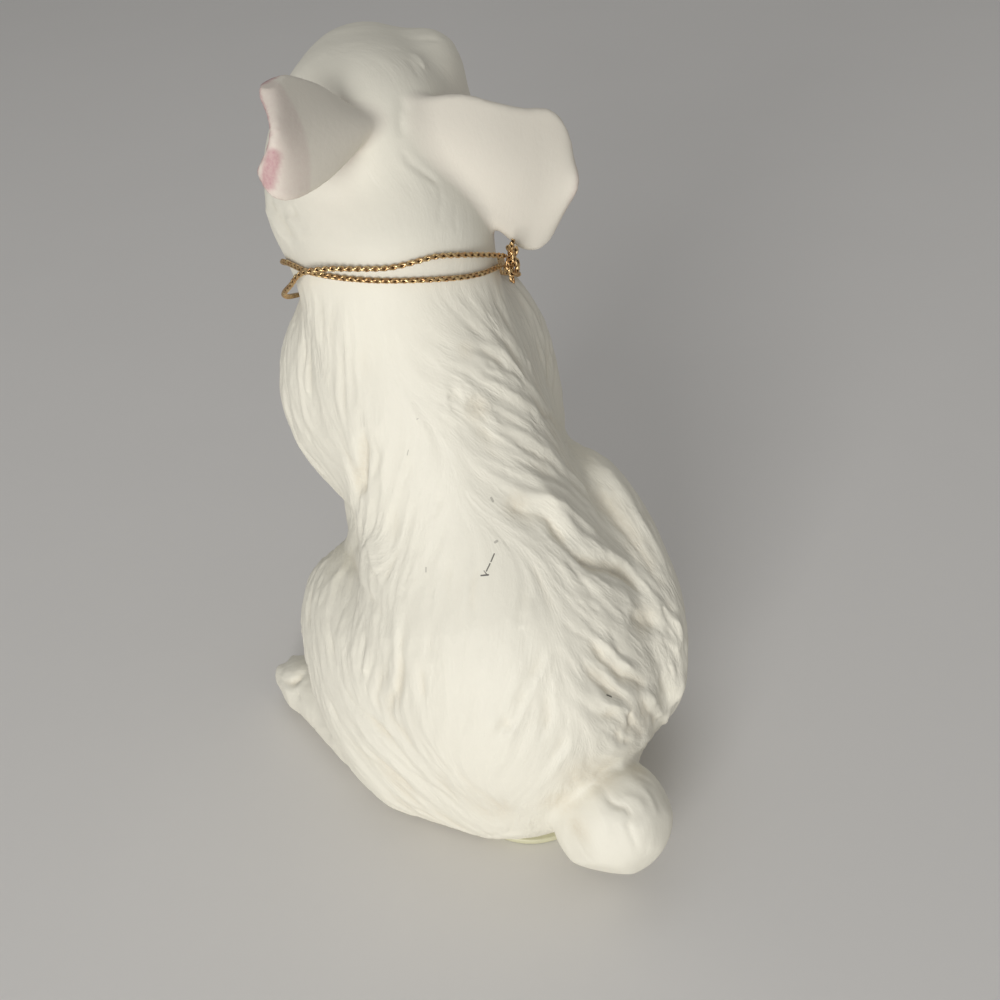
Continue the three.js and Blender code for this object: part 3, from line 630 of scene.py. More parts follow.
    (1.3, 0.5, (-22.9, 36, 40.6), (-23.6, 36.4, 36.6), (-22.9, 36.5, 32.5)),
    (0.9, -0.45, (-13.6, 40.7, 42), (-14.5, 41, 37.8), (-17.7, 38.9, 30.1), (-25.2, 30.8, 15.7)),
    (0.8, -0.4, (-20.7, 36.7, 40.7), (-20.8, 37.3, 36.4), (-22.5, 36.5, 30.4)),
    (0.8, -0.35, (-5.3, 44.2, 39.1), (-6.2, 44.4, 35.3), (-8.9, 43.6, 32.7)),
    (1.2, 0.4, (-11.7, 42.6, 32), (-21, 31.7, 14.4)),
    (0.7, -0.3, (-0.5, 34.5, 62.3), (-2.2, 36.1, 60.1), (-4.2, 37.2, 57.9)),
    (1.0, 0.3, (1.2, 36.4, 59.6), (0, 38.3, 56.7), (-1.3, 39.9, 53.9)),
    (1.0, 0.45, (3.1, 37, 58.6), (4.9, 38, 56.5), (7.4, 38.6, 54.3), (10, 39.1, 51.3), (13.3, 39.4, 46.8),
     (16.3, 39, 42)),
    (1.2, -0.4, (4.8, 37, 58.2), (7.4, 37.7, 55.9), (9.3, 38.6, 53), (11.8, 38.8, 50.4), (14.3, 38.9, 46.8),
     (17.1, 38.2, 43)),
    (0.7, -0.3, (7.2, 41.8, 47), (8.7, 42.2, 44.2), (10.2, 42.3, 41.9)),
    (0.7, 0.3, (4.6, 39, 54.6), (5.6, 40.9, 50.3), (6.2, 42, 47.3)),
    (0.9, 0.4, (4.6, 44.1, 40.7), (6.9, 44, 37.6), (9.3, 43.5, 34.1)),
    (0.8, -0.35, (5.4, 43.5, 42.8), (7, 43.6, 40.3), (9, 43.4, 37.7)),
    (1.3, -0.3, (13.5, 18.7, 72.3), (15.7, 21.5, 68.1), (17.5, 25, 63.7)),
    (1.0, -0.25, (24.4, 23.6, 55.2), (25.5, 25, 50.5), (25.8, 26.2, 47.7)),
    (1.0, -0.25, (20.1, 33.5, 48.9), (21.2, 33.5, 46.1), (22.1, 33.4, 43.7)),
    (1.5, -0.25, (16.2, 35.5, 51.6), (14.8, 38, 48.2), (14.7, 39.3, 44.8)),
    (0.8, -0.25, (3.3, 29.2, 67.6), (5.1, 30.7, 65.9), (7.3, 32.4, 63.4)),
    (0.9, 0.25, (3, 30.5, 66.5), (5.3, 32, 64.6), (7.3, 33.3, 62.4)),
    (0.8, -0.2, (8.9, 21.9, 72.4), (12.3, 24.3, 68.5), (14.6, 27.2, 64.4)),
    (1.3, -0.2, (18.7, 20.1, 66.1), (21, 22.6, 61.7), (23, 24.7, 56.7)),
    (1.2, -0.5, (20.5, 16.1, 66.6), (23.2, 16.9, 62.2), (25.4, 18.1, 57.8), (27.1, 19, 52.9), (28.7, 19.1, 47.2),
     (30, 17.8, 41.3), (30.1, 19, 38.8), (29.5, 21.3, 36.8), (28.7, 23.5, 34.1), (27.5, 26.3, 31.6), (25.9, 29, 28.8),
     (23.9, 30, 22.6)),
    (1.2, 0.5, (23.9, 12.5, 63.1), (25, 15.7, 59.7), (26.7, 17.4, 55.4), (28.5, 18, 48.9), (29.8, 17.1, 43.4)),
    (1.1, -0.45, (20.6, -19.4, 52.6), (23, -10.7, 54.3), (25.7, 1.8, 58.7), (26, 9, 59.4), (26.5, 12.7, 57.8)),
    (1.0, 0.4, (24.1, 9.5, 63.5), (23.5, 3.4, 66.4), (22.8, 0.4, 69.1)),
    (1.0, -0.3, (21.5, 13.9, 66.4), (22.9, 14.3, 63.9)),
    (0.9, -0.5, (28.1, -12.9, 49.1), (30.7, -9.3, 47), (32.8, -4.3, 44.1), (33.9, 0.3, 41.3), (34.4, 5, 38.4),
     (33.8, 10.4, 36.4), (32.2, 15.7, 35), (30.7, 19.6, 33.1), (29.3, 22.5, 29.4), (27.5, 24.9, 25.6),
     (25.2, 27.7, 22.4)),
    (1.2, 0.55, (23.1, -16, 52.1), (26.5, -14.2, 50.2), (29.4, -11.3, 48.2), (31.9, -9.3, 45.4), (33.8, -7.1, 42.4)),
    (0.6, -0.3, (29.9, -16.9, 46.6), (32, -13.1, 44.8), (33.6, -8.5, 42.7), (34.4, -4, 40.9)),
    (0.6, -0.3, (29.7, -22.4, 44.5), (32.2, -18.9, 42.5), (34.6, -12.9, 39.7), (35.5, -7.9, 38.3)),
    (0.5, -0.25, (27.3, -19.2, 48.4), (29.9, -18.3, 46.1)),
    (0.6, -0.32, (25.5, -0.6, 57.4), (27.3, -0.8, 52.8), (29.7, -0.8, 49.1)),
    (0.6, -0.32, (30.2, 1.7, 48.3), (32.1, 2.1, 44.9), (32.9, 3.7, 42.7), (32.9, 6.9, 41.4)),
    (0.6, -0.32, (28.6, 6.9, 52.3), (30.2, 7, 47.8), (31.3, 8, 44.8), (31.5, 11, 43)),
    (0.6, -0.32, (28.4, 11.6, 53), (30.1, 10.9, 47.1), (31.7, 10.5, 42.7), (32.2, 12.5, 39.6)),
    (0.8, 0.35, (29.4, 3.3, 49.9), (31.2, 4.6, 46.1), (32.3, 7, 42.9), (32.4, 10.4, 40.7)),
    (0.8, 0.35, (28.5, 9.4, 52.6), (30.3, 8.9, 47.2), (31.5, 9.8, 43.6)),
    (0.8, 0.35, (26.7, -6.7, 51.6), (29, -4.8, 49.5), (31.4, -3.1, 46.5), (32.4, 0.1, 44.6)),
    (0.6, -0.3, (27.5, -6.3, 50.9), (29.9, -4.7, 48.4), (31.8, -3.3, 45.7)),
    (0.6, -0.3, (28.1, 13.8, 53.3), (29.5, 14, 47.5), (31.2, 13.8, 41.3), (31.3, 15.9, 38.7)),
    (0.7, 0.3, (27, 4.7, 56.2), (28, 3.9, 52.9), (29.1, 3.5, 50.5)),
    (1.5, 0.55, (35.7, -0.5, 36.8), (35.3, 5.7, 34.9), (33.9, 13.3, 30.9), (31.2, 19.5, 26.8), (27.9, 23.6, 21.1),
     (25.9, 25.8, 18)),
    (0.8, -0.4, (36.8, -3, 33.5), (37, 1.8, 29.8), (36.1, 8.2, 26), (34.3, 13.6, 23.9), (32.1, 17.6, 20.4),
     (29.9, 20.5, 16.8)),
    (0.7, -0.4, (37.6, -0.4, 23.6), (36.8, 4.8, 19.5), (35.3, 10.3, 17), (33.5, 13.6, 14.1)),
    (0.7, 0.35, (37.3, 1.5, 20.5), (36.4, 6.4, 18), (35, 11, 16.6), (33.3, 13.7, 13.1)),
    (0.6, 0.3, (33, 15.9, 18.2), (30.9, 17.5, 12.2), (28.7, 20.3, 11.4)),
    (0.5, -0.3, (35.5, 7.3, 32.3), (34.5, 11.6, 31.2), (33.2, 15.7, 28), (30.7, 20.3, 29.6)),
    (0.5, -0.25, (37.7, -4.7, 27.4), (37.7, -2.4, 22.4), (37.3, 1.5, 19.6)),
    (0.5, -0.25, (31.8, 18.3, 23), (29.7, 21, 19.8), (27.3, 23.8, 16.9)),
    (0.9, -0.35, (27.6, 25.9, 30.2), (25.9, 28.3, 26.7), (23.9, 30, 22.6)),
    (0.5, -0.25, (36, -8.1, 37), (37.2, -4.5, 31.8)),
    (0.8, -0.5, (0.7, 45, 28.7), (-1, 44.9, 29.5), (-3.4, 44.8, 29.4), (-6, 44.6, 28.5)),
    (0.6, -0.36, (0.1, 46.2, 28), (0, 49.3, 27.2), (-0.7, 51, 26.4), (-2.2, 52.2, 25.8), (-2.2, 53.6, 24.9),
     (-0.9, 54.4, 23.9), (-1, 56.2, 20.8), (-1.7, 57.1, 16.9)),
    (1.6, 0.2, (1.6, 45, 28.1), (2.1, 47.9, 26.9), (2.7, 51.5, 24.5), (2.7, 54.2, 20.5)),
    (1.2, -0.2, (3.9, 45.3, 26.3), (6.2, 46.1, 23.9), (7.2, 46, 19.3)),
    (0.8, 0.2, (-7, 49.4, 26.9), (-7.7, 52.2, 24.9), (-7, 54.6, 23.4)),
    (0.9, 0.25, (-2.3, 49.6, 27.3), (-4.5, 51.5, 26.3), (-5.2, 53.9, 24.7)),
    (0.6, -0.15, (7, 47.4, 19.1), (6.8, 49.5, 16.6), (5.9, 52.4, 15.5)),
    (0.6, -0.15, (-5, 55.7, 22.9), (-3.4, 57.1, 19.4), (-1.8, 56.9, 15.8)),
    (0.9, 0.15, (7.4, 44.5, 20.9), (8, 44.2, 15.5), (7.7, 46.9, 12.9)),
    (0.6, -0.2, (-6.9, 47.2, 27.8), (-8.9, 48.3, 26.4), (-10.5, 49.4, 24.5)),
    (2.6, 0.8, (-25.9, 35.5, 39.1), (-24.8, 35.9, 31.5), (-23, 35.3, 25.6), (-22.2, 31.8, 14.3)),
    (0.9, -0.9, (38.9, -35, 10.1), (37.8, -31.2, 11.7), (35.8, -30, 12.8), (34.1, -31.3, 13.4)),
    (0.6, -0.4, (37.7, -30.7, 11.7), (37.6, -28.1, 11.2), (37.6, -25.6, 10.7)),
    (0.9, -0.7, (18.9, -33.3, 127.2), (19.3, -29.9, 126.5), (19.6, -26.2, 125.5), (19.6, -22.6, 124.5),
     (19.6, -19.5, 123.5)),
    (1.0, 0.5, (19.1, -35.4, 124.5), (19.9, -30.2, 124.2), (20.1, -25.7, 123.1), (20, -21, 122.3)),
    (0.7, -0.45, (18.2, -23.1, 128.6), (18.1, -20.2, 127.7), (18.1, -16.6, 126.3)),
    (0.7, 0.45, (18.7, -23.9, 127.5), (18.8, -20.7, 126.4), (18.7, -17.4, 125.3)),
    (0.6, -0.35, (18.9, -26.9, 127.5), (19.1, -23.9, 126.4)),
    (0.8, -0.3, (-8.5, -24.8, 149.3), (-8.9, -22.8, 148.1), (-8.8, -20.4, 146.6)),
    (1.1, 0.4, (-11.7, -27.2, 148.5), (-11.8, -25.3, 147.5), (-11.7, -23.8, 146.8)),
    (0.8, -0.22, (-11.5, -33.6, 150.3), (-15.4, -32.8, 148.8), (-20.2, -34.2, 147.8)),
    (0.7, -0.2, (-5.9, -26.9, 151), (-9.9, -27.4, 149.6), (-15.2, -30.4, 148)),
    (2.2, -0.7, (19.1, -1.3, 93), (19.8, -0.5, 88.3), (20.9, -0.6, 83.4), (22.1, -2.2, 77)),
    (0.6, -0.3, (19, -28.8, 127.6), (19.4, -24.6, 125.7), (19.4, -20.1, 124.2), (19.1, -15.8, 123.5)),
    (0.6, -0.28, (18.1, -24.1, 129), (18.1, -19.4, 127.4), (17.8, -15.4, 126.3)),
    (0.5, -0.22, (17.7, -19.5, 128.5), (17.6, -16.1, 127.2)),
    (0.8, 0.25, (19.5, -30.9, 125.8), (19.9, -26.6, 123.9), (19.9, -21.1, 122.8)),
    (0.7, -0.3, (0.1, -11.1, 138.5), (-1.1, -10.2, 136.1), (-3, -9.4, 134.2), (-5.1, -8, 131.6)),
    (0.5, -0.14, (-4.7, -7.3, 131.1), (-1.9, -2.6, 127)),
    (0.5, -0.14, (-7.2, -6.7, 129), (-4.2, -1.9, 124.6)),
    (0.5, -0.14, (-9.3, -6.2, 126.7), (-6.7, -2.1, 122.8)),
    (1.0, -0.2, (-4, -16.1, 145.4), (-1.8, -14, 143.5), (-0.7, -11.9, 140.2)),
    (1.2, 0.6, (-18.5, -57.2, 130.1), (-17.3, -57.9, 130.6), (-16, -58.5, 130.3)),
    (0.7, 0.3, (-18.2, -57.9, 129), (-16.8, -58.7, 129)),
    (0.6, -0.9, (-14.2, -58.6, 130.9), (-15, -59.1, 129.4), (-16.4, -59, 128), (-17.6, -58.5, 127.5)),
    (0.6, -0.9, (-19.5, -55.6, 130.9), (-19.5, -56.6, 129.4), (-18.7, -57.7, 128), (-17.6, -58.5, 127.5)),
    (0.5, -0.9, (-15.7, -58.9, 129.6), (-16.3, -58.9, 129)),
    (0.5, -0.9, (-19, -57, 129.6), (-18.6, -57.6, 129)),
    (0.6, -1.1, (-17.6, -58.5, 127.6), (-17.6, -58.5, 126), (-17.4, -58.1, 124.4)),
    (0.65, -1.1, (-17.4, -58.1, 124.4), (-15.7, -58.4, 123), (-13.5, -58.8, 122.6), (-11.4, -59.3, 123.4),
     (-10.1, -59.3, 124.6)),
    (0.65, -1.1, (-17.4, -58.1, 124.4), (-18.5, -56.8, 123), (-20, -55.2, 122.6), (-21.6, -53.6, 123.4),
     (-22.3, -52.5, 124.6)),
    (2, 0.6, (-15.4, -59.4, 126.4), (-13.3, -59.8, 126)),
    (2, 0.6, (-19.6, -57.1, 126.4), (-21, -55.6, 126)),
    (0.8, 0.45, (-18.5, -55.1, 121.2), (-16.3, -56, 120.8), (-14.3, -57.4, 121.2)),
    (0.9, -0.45, (-11.8, -55.1, 136), (-11.5, -56.9, 133), (-10.7, -58.8, 129.4)),
    (0.9, -0.45, (-17.7, -51.6, 136), (-19.5, -52.4, 133), (-21.5, -52.7, 129.4)),
    (0.7, -0.4, (-7.9, -56.6, 131), (-7.3, -57.1, 128), (-7.8, -57.6, 124.6)),
    (0.7, -0.4, (-21.1, -49.1, 131), (-21.9, -48.8, 128), (-22.1, -49.6, 124.6)),
    (0.7, 0.35, (-5.5, -55.9, 131.4), (-4.5, -55.9, 128), (-4.7, -55.3, 124)),
    (0.7, 0.35, (-21.8, -46.6, 131.4), (-22.3, -45.9, 128), (-21.6, -45.5, 124)),
    (1.3, 0.35, (-18.4, -27.1, 108.3), (-24.5, -31, 95.9), (-28.6, -29.2, 83.3), (-28.2, -28.5, 73.9),
     (-30.9, -16, 74.2)),
    (0.55, -0.3, (-17.5, -15.3, 112.4), (-22.1, -17.9, 103.3), (-25.8, -14.8, 96.2), (-26.6, -12.1, 90.3)),
    (0.6, -0.38, (-21, -28.8, 103), (-28.3, -25.2, 95.2), (-30.3, -20.6, 89.5), (-30, -15, 84), (-27.8, -10.6, 80)),
    (0.55, -0.34, (-21.3, -20.7, 105.1), (-27.3, -18.8, 97.4), (-26.9, -14, 93), (-26.7, -12.5, 90.6)),
    (0.7, 0.25, (-21.2, -25.6, 104.9), (-28.2, -21.7, 96.5), (-29.5, -16.7, 89.6), (-26.7, -10.5, 85.6),
     (-22.6, -5.2, 82.9)),
    (0.6, -0.32, (-30.4, -17.4, 86.9), (-28.3, -12, 83.9), (-25, -7.8, 81.6), (-23, -5.3, 81.4)),
    (0.5, -0.25, (-23.2, -31.5, 97.4), (-27.7, -28.6, 92.3), (-29.9, -26.1, 87)),
    (0.9, -0.5, (-31.5, -15.8, 50.3), (-34.7, -10.6, 47.6), (-36.7, -5, 44.5), (-37.6, 0, 41.6), (-37.9, 5, 38.5),
     (-37.7, 10.8, 36.4), (-36.8, 16.6, 35), (-35.8, 20.7, 32.9), (-34.5, 23.9, 29.1), (-32.3, 27.8, 24.5),
     (-26.4, 32.2, 20.3)),
    (1.2, 0.55, (-24.5, -20.7, 51.3), (-28.2, -18.9, 51.8), (-33.4, -13.2, 48.9), (-35.1, -10.3, 45.8),
     (-36.3, -7.7, 42.6)),
    (0.6, -0.3, (-30.8, -17.8, 46.8), (-33.7, -14, 45), (-35.9, -9.1, 42.9), (-37.1, -4.5, 41.1)),
    (0.6, -0.3, (-28.4, -20.4, 44), (-31.4, -18.2, 42.4), (-34.8, -13, 39.7), (-36.4, -8.1, 38.4)),
    (0.8, -0.4, (-37.4, -3.1, 33.4), (-37.7, 1.8, 29.7), (-37.3, 8.3, 25.9), (-36.3, 13.9, 23.6), (-34.7, 18.2, 19.8),
     (-32.6, 21.5, 15.8)),
    (0.7, -0.4, (-36.9, -0.3, 23.7), (-36.4, 4.8, 19.6), (-35.4, 10.3, 16.9), (-34.1, 13.8, 13.9)),
    (0.7, 0.35, (-36.5, 1.5, 20.7), (-36, 6.4, 18.1), (-35.2, 11.1, 16.5), (-33.8, 13.8, 12.9)),
    (0.9, -0.9, (-38.6, -34.8, 9.7), (-37.8, -31.1, 11.7), (-35.8, -30, 12.9), (-34.1, -31.1, 12.8)),
    (0.9, -0.7, (-19.6, -34.6, 132), (-25.3, -30.3, 132.2), (-23.6, -23.2, 125.8), (-21.8, -20.8, 124.5),
     (-20.5, -18.9, 123.5)),
    (1.0, 0.5, (-20.4, -36.3, 131.8), (-25.9, -27.4, 123.5), (-23.3, -23.2, 122.3), (-21.2, -20.2, 122)),
    (0.7, -0.45, (-20.6, -20.6, 129.7), (-19.6, -18.8, 128.3), (-18.3, -16.4, 126.4)),
    (0.7, 0.45, (-21.6, -21.2, 128.4), (-20.4, -19.3, 126.7), (-19.2, -17.1, 125.4)),
]


TABLE_SIZE = 64
noise_table = np.random.default_rng(11).random((TABLE_SIZE,) * 3).astype(np.float32) * 2 - 1


def solid_noise(points, scale, offset=0.0):
    """Smooth noise from -1 to 1 with lumps about `scale` mm wide."""
    q = points / scale + offset
    cell = np.floor(q).astype(np.int64)
    f = q - cell
    f = f * f * (3 - 2 * f)
    return cube_mix(noise_table, cell % TABLE_SIZE, f, wrap=TABLE_SIZE)


def cube_mix(table, cell, f, wrap=None):
    """Value of a table between its entries."""
    total = 0
    for corner in np.ndindex(2, 2, 2):
        index = cell + corner
        if wrap:
            index = index % wrap
        weight = np.prod([f[:, k] if corner[k] else 1 - f[:, k] for k in range(3)], axis=0)
        value = table[index[:, 0], index[:, 1], index[:, 2]]
        total = total + (weight[:, None] * value if value.ndim > 1 else weight * value)
    return total.astype(np.float32)


# Lie of the fur where no stroke is near: place and direction
COMB = np.array([
    (0, 48, 40, 0, 0.3, -1), (0, 40, 62, 0, 0.6, -1), (0, 22, 84, 0, 0.7, -1), (0, 8, 104, 0, 0.5, -1),
    (28, 20, 40, 0.3, 0.3, -1), (-28, 20, 40, -0.3, 0.3, -1), (22, -4, 80, 0.2, 0.3, -1), (-24, -6, 80, -0.4, 0.3, -1),
    (20, -30, 84, 0, 0.1, -1), (-20, -30, 84, 0, 0.1, -1), (0, -46, 84, 0, 0.1, -1), (0, -44, 60, 0, 0.1, -1),
    (36, -10, 36, 0.1, -0.5, -1), (-36, 6, 44, -0.1, -0.3, -1), (36, -20, 15, 0, -1, -0.4), (-36, -4, 20, 0, -1, -0.5),
    (-3, 55, 24, 0, 0.5, 1), (8, 46, 20, 1, 0.4, 0.2), (-14, 46, 20, -1, 0.4, 0.2), (-4, 54, 8, 0, 0.6, -1),
    (0, -10, 150, 0, 1, 0.1), (15, -30, 132, 0.3, 1, -0.5), (-18, -22, 130, -0.2, 1, -0.4), (0, -55, 128, 0, 0.6, -0.3),
    (-14, -36, 70, 0.4, -0.4, -1), (14, -36, 70, -0.4, -0.4, -1), (-22, -16, 60, 0.2, -0.7, -1),
    (34, 4, 14, 0.2, -0.6, -0.7), (-12, -42, 110, 0.2, 0.1, -1), (10, -40, 108, -0.1, 0.1, -1),
    (-34, -22, 12, 0, -1, -0.2), (34, -30, 12, 0, -1, -0.2),
], np.float32)
COMB_REACH = 15.0
COMB_SHARE = 0.3
STROKE_REACH = 4.5
FLOW_CELL = 3.0
FLOW_LOW = np.array([-48, -68, -6], np.float32)
FLOW_COUNTS = (33, 45, 58)
flow_table = []


def curve(line, step):
    """Smooth line through points, with a point about every `step` mm."""
    lengths = np.linalg.norm(np.diff(np.array(line, float), axis=0), axis=1)
    counts = [max(int(length / step), 1) for length in lengths]
    stations = [k + np.arange(count) / count for k, count in enumerate(counts)]
    return along_curve(line, np.concatenate(stations + [[len(lengths)]]))


def comb_table():
    """Direction of the fur on a grid of cubes: along the nearest strokes, and along the comb elsewhere."""
    lines = [curve(line, 2.5) for _, _, *line in STROKES]
    ends = [*lines, COMB[:, :3]]
    reaches = [np.full(len(line), STROKE_REACH) for line in lines] + [np.full(len(COMB), COMB_REACH)]
    shares = [np.full(len(line), 1.0) for line in lines] + [np.full(len(COMB), COMB_SHARE)]
    lies = [unit(np.gradient(line, axis=0)) for line in lines] + [unit(COMB[:, 3:])]
    places, lies, reaches, shares = (np.concatenate(part).astype(np.float32) for part in (ends, lies, reaches, shares))
    grid = grid_of(FLOW_LOW, FLOW_CELL, FLOW_COUNTS)
    flow = np.empty_like(grid)
    for part in np.array_split(np.arange(len(grid)), 24):
        points = grid[part]
        square = (points ** 2).sum(1)[:, None] + (places ** 2).sum(1)[None] - 2 * points @ places.T
        weight = shares * np.exp(-np.maximum(square, 0) / (2 * reaches ** 2)) + 1e-12
        flow[part] = weight @ lies
    return unit(flow, 1e-12).reshape(*FLOW_COUNTS, 3)


def fur_flow(points):
    """Direction of the fur at each point, before it is laid onto the skin."""
    if not flow_table:
        flow_table.append(comb_table())
    q = np.clip((points - FLOW_LOW) / FLOW_CELL, 0, np.array(FLOW_COUNTS) - 1.01)
    cell = np.floor(q).astype(int)
    return cube_mix(flow_table[0], cell, q - cell)


def laid(flow, normals):
    """Directions laid onto the skin."""
    return unit(flow - (flow * normals).sum(1, keepdims=True) * normals, 0.25)


def strands(points, normals, scales, steps=8, step=1.0):
    """Noise drawn out along the fur, one value for each scale in mm."""
    totals = [solid_noise(points, scale, k * 7.3) for k, scale in enumerate(scales)]
    for way in (1, -1):
        q = points.copy()
        for _ in range(steps):
            q = q + way * step * laid(fur_flow(q), normals)
            for k, scale in enumerate(scales):
                totals[k] += solid_noise(q, scale, k * 7.3)
    return [total / total.std() for total in totals]


def stroke_height(points, normals):
    """Height of the carver's strokes over the smooth skin, in mm."""
    height = np.zeros(len(points), np.float32)
    shake = 0.35 * np.stack([solid_noise(points, 2.6, 3.1 + k) for k in range(3)], 1)
    force = np.clip(1 + 0.8 * solid_noise(points, 5, 9.7), 0.3, 1.7)
    for width, rise, *line in STROKES:
        line = curve(line, 0.5).astype(np.float32)
        tangent = unit(np.gradient(line, axis=0))
        margin = 3 * width + 1
        picked = inside(points, line.min(0) - margin, line.max(0) + margin)
        if not len(picked):
            continue
        q, normal = points[picked] + shake[picked], normals[picked]
        square = (q ** 2).sum(1)[:, None] + (line ** 2).sum(1)[None] - 2 * q @ line.T
        nearest = square.argmin(1)
        offset = q - line[nearest]
        lift = (offset * normal).sum(1)
        offset -= lift[:, None] * normal
        inner = ((nearest > 0) & (nearest < len(line) - 1))[:, None]
        offset -= np.where(inner, (offset * tangent[nearest]).sum(1, keepdims=True) * tangent[nearest], 0)
        away = np.linalg.norm(offset, axis=1) / width
        share = nearest / (len(line) - 1)
        fade = np.clip(np.minimum(share, 1 - share) * 4 + 0.15, 0, 1) * np.clip(3 - np.abs(lift) / 2, 0, 1)
        profile = np.exp(-away ** 1.1) - 0.18 * np.exp(-((away - 2) / 0.9) ** 2)
        height[picked] += rise * (0.6 + 0.3 * width) * fade * force[picked] * profile
    return height


# Places where the fur lies smooth, with how far round them
CALM = (
    (8.9, 0.8, 117.2, 11), (8.9, 2.3, 108.8, 12), (12.6, 3.1, 99, 9), (11.4, 9.7, 86.7, 11), (9.1, 18.9, 75.2, 12),
    (10.9, 28.3, 65.8, 12), (16.7, 33.2, 55.1, 12), (22.4, 33.4, 42.5, 9), (14.5, 41.1, 33.9, 11), (21.7, 20, 62.5, 8),
    (6, 30, 75, 9), (2, 38, 60, 9),
)


def near(points, centre, radius):
    """1 at a place, fading to 0 at `radius` mm."""
    share = np.clip(1 - np.linalg.norm(points - np.array(centre, np.float32), axis=1) / radius, 0, 1)
    return share * share * (3 - 2 * share)


def fur_depth(points, parts):
    """How deep the fur is cut, from 0 to 1."""
    joint = plane_height(points, **NECK_JOINT)
    depth = 1 - 0.85 * np.clip((joint + 6) / 6, 0, 1)
    face = np.clip(-(in_head(points)[:, 1] + 6) / 8, 0, 1) * np.clip((joint - 6) / 5, 0, 1)
    depth = depth + 0.3 * face
    for x, y, z, reach in CALM:
        depth = depth * (1 - 0.7 * near(points, (x, y, z), reach * 1.25))
    for name in ("left_ear", "right_ear"):
        depth = depth * np.clip(parts[name] / 4 - 0.3, 0, 1)
    for name in ("left_foreleg", "right_foreleg", "left_hind_foot", "right_hind_foot"):
        depth = depth * np.clip(parts[name] / 3 + 0.35, 0.35, 1)
    depth = depth * np.clip(parts["tail"] / 3, 0.12, 1)
    for eye in (EYE, other_side(EYE)):
        depth = depth * np.clip(np.linalg.norm(points - from_head(eye["centre"]), axis=1) / 4 - 1, 0, 1)
    return depth * np.clip((points[:, 2] - BASE_Z) / 4, 0, 1)


# Width and height in mm of the strands that run between the strokes
LUMPS, LOCKS, CURLS = (9.0, 0.16), (4.2, 0.18), (1.9, 0.15)


def carved(points, normals, parts, depth, strength):
    """Height of the carving over the smooth skin, in mm."""
    lumps, locks, curls = strands(points, normals, (LUMPS[0], LOCKS[0], CURLS[0]))
    height = LUMPS[1] * lumps + LOCKS[1] * (0.8 - np.abs(locks)) + CURLS[1] * (0.8 - np.abs(curls))
    strokes = stroke_height(points, normals)
    return (height * depth + strokes) * strength * np.clip((points[:, 2] - BASE_Z) / 3, 0, 1)


# Added to the distance of the body above the neck joint, and of the head below it
WRONG_SIDE = 60
BOX_MARGIN = 0.02
skin = {}


def make_skin(strength):
    """Builds the whole skin once: points, quads, normals, and the casting that each quad is on."""
    if skin:
        return skin
    points, faces = rough_skin()
    points = settled(points.astype(np.float32), 1)
    points, faces = finer(points, faces)
    points = settled(points, 2)
    parts = parts_distance(points)
    normals = slopes(skin_distance, points, skin_distance(points, parts))
    depth = fur_depth(points, parts)
    height = carved(points, normals, parts, depth, strength)
    stack = np.stack([parts[name] for name in CASTINGS], 1)[faces].mean(1)
    above = plane_height(points, **NECK_JOINT)[faces].mean(1) > 0
    stack[:, CASTINGS.index("body_casting")] += np.where(above, WRONG_SIDE, 0)
    stack[:, CASTINGS.index("head_casting")] += np.where(above, 0, WRONG_SIDE)
    low, high = (np.array(corner) / MM - HOME for corner in CAD_BOX)
    places = np.clip(points + height[:, None] * normals, low + BOX_MARGIN, high - BOX_MARGIN).astype(np.float32)
    skin.update(
        points=places, faces=faces, owner=stack.argmin(1), normals=vertex_normals(places, faces),
        lie=laid(fur_flow(points), normals), carving=height, fur=depth, place=(points + HOME) * MM,
        pink=pink_paint(points, normals, parts), dust=settled_dust(points, height),
    )
    return skin


def pink_paint(points, normals, parts):
    """Where pink is brushed on: inside the ears, on their rims and on the nose."""
    pink = near(in_head(points), NOSE_PAINT, 3.2) * 1.2
    for name, ear in (("left_ear", LEFT_EAR), ("right_ear", RIGHT_EAR)):
        root, length, along, across, back = ear_frame(**ear)
        out = np.clip((points - root) @ along / length, 0, 1)
        inward = -normals @ back
        on_ear = np.clip(1 - (parts[name] - parts["head_casting"] * 0.4) / 2, 0, 1) * np.clip(2 - parts[name], 0, 1)
        hollow = np.clip(inward * 1.6 + 0.25, 0, 1) * np.clip(out * 4, 0, 1)
        pink = np.maximum(pink, on_ear * (0.1 + 0.9 * hollow))
        pink = np.maximum(pink, on_ear * 0.3 * np.clip(out * 14 - 13, 0, 1))
        if name == "left_ear":
            lip = root + along * 27 - across * 2.6 + back * 7.1
            fold = along * 0.7 - across * 3.8 - back * 1.6
            share = np.clip((points - lip) @ fold / (fold @ fold), 0, 1)
            away = np.linalg.norm(points - lip - share[:, None] * fold, axis=1)
            pink = np.maximum(pink, on_ear * np.clip((2 - away) / 1.1, 0, 1))
    return np.clip(pink, 0, 1).astype(np.float32)


# Places where dust has settled and yellowed, tinted also as painted shade at the tail's join, under the cord and in
# hollows, with how far round them
DUST_AND_SHADE_SPOTS = (
    (7.4, 43.1, 25.5, 6), (3.5, 44.8, 32, 7), (-0.6, 45.3, 29.9, 6), (-9.4, 45.9, 27.9, 5), (7.1, 47.9, 21.3, 5),
    (-1.3, 5.3, 105.5, 3), (0.1, 9.1, 95.6, 4), (-1.2, 18.4, 78.5, 4), (-18.9, 34, 52.4, 5),
)


def settled_dust(points, height):
    """How much dust tint, partly painted shade, lies in the carving, at the marked places and round the base, from 0 to
    1.
    """
    # Furrows of the carving and the foot of the figurine get the dust tint as painted shade.
    dust = np.clip(-height * 0.7 - 0.15, 0, 0.35)
    for x, y, z, reach in DUST_AND_SHADE_SPOTS:
        dust = np.maximum(dust, 0.45 * near(points, (x, y, z), reach))
    return np.maximum(dust, 0.5 * np.clip(1 - (points[:, 2] - BASE_Z) / 2, 0, 1)).astype(np.float32)


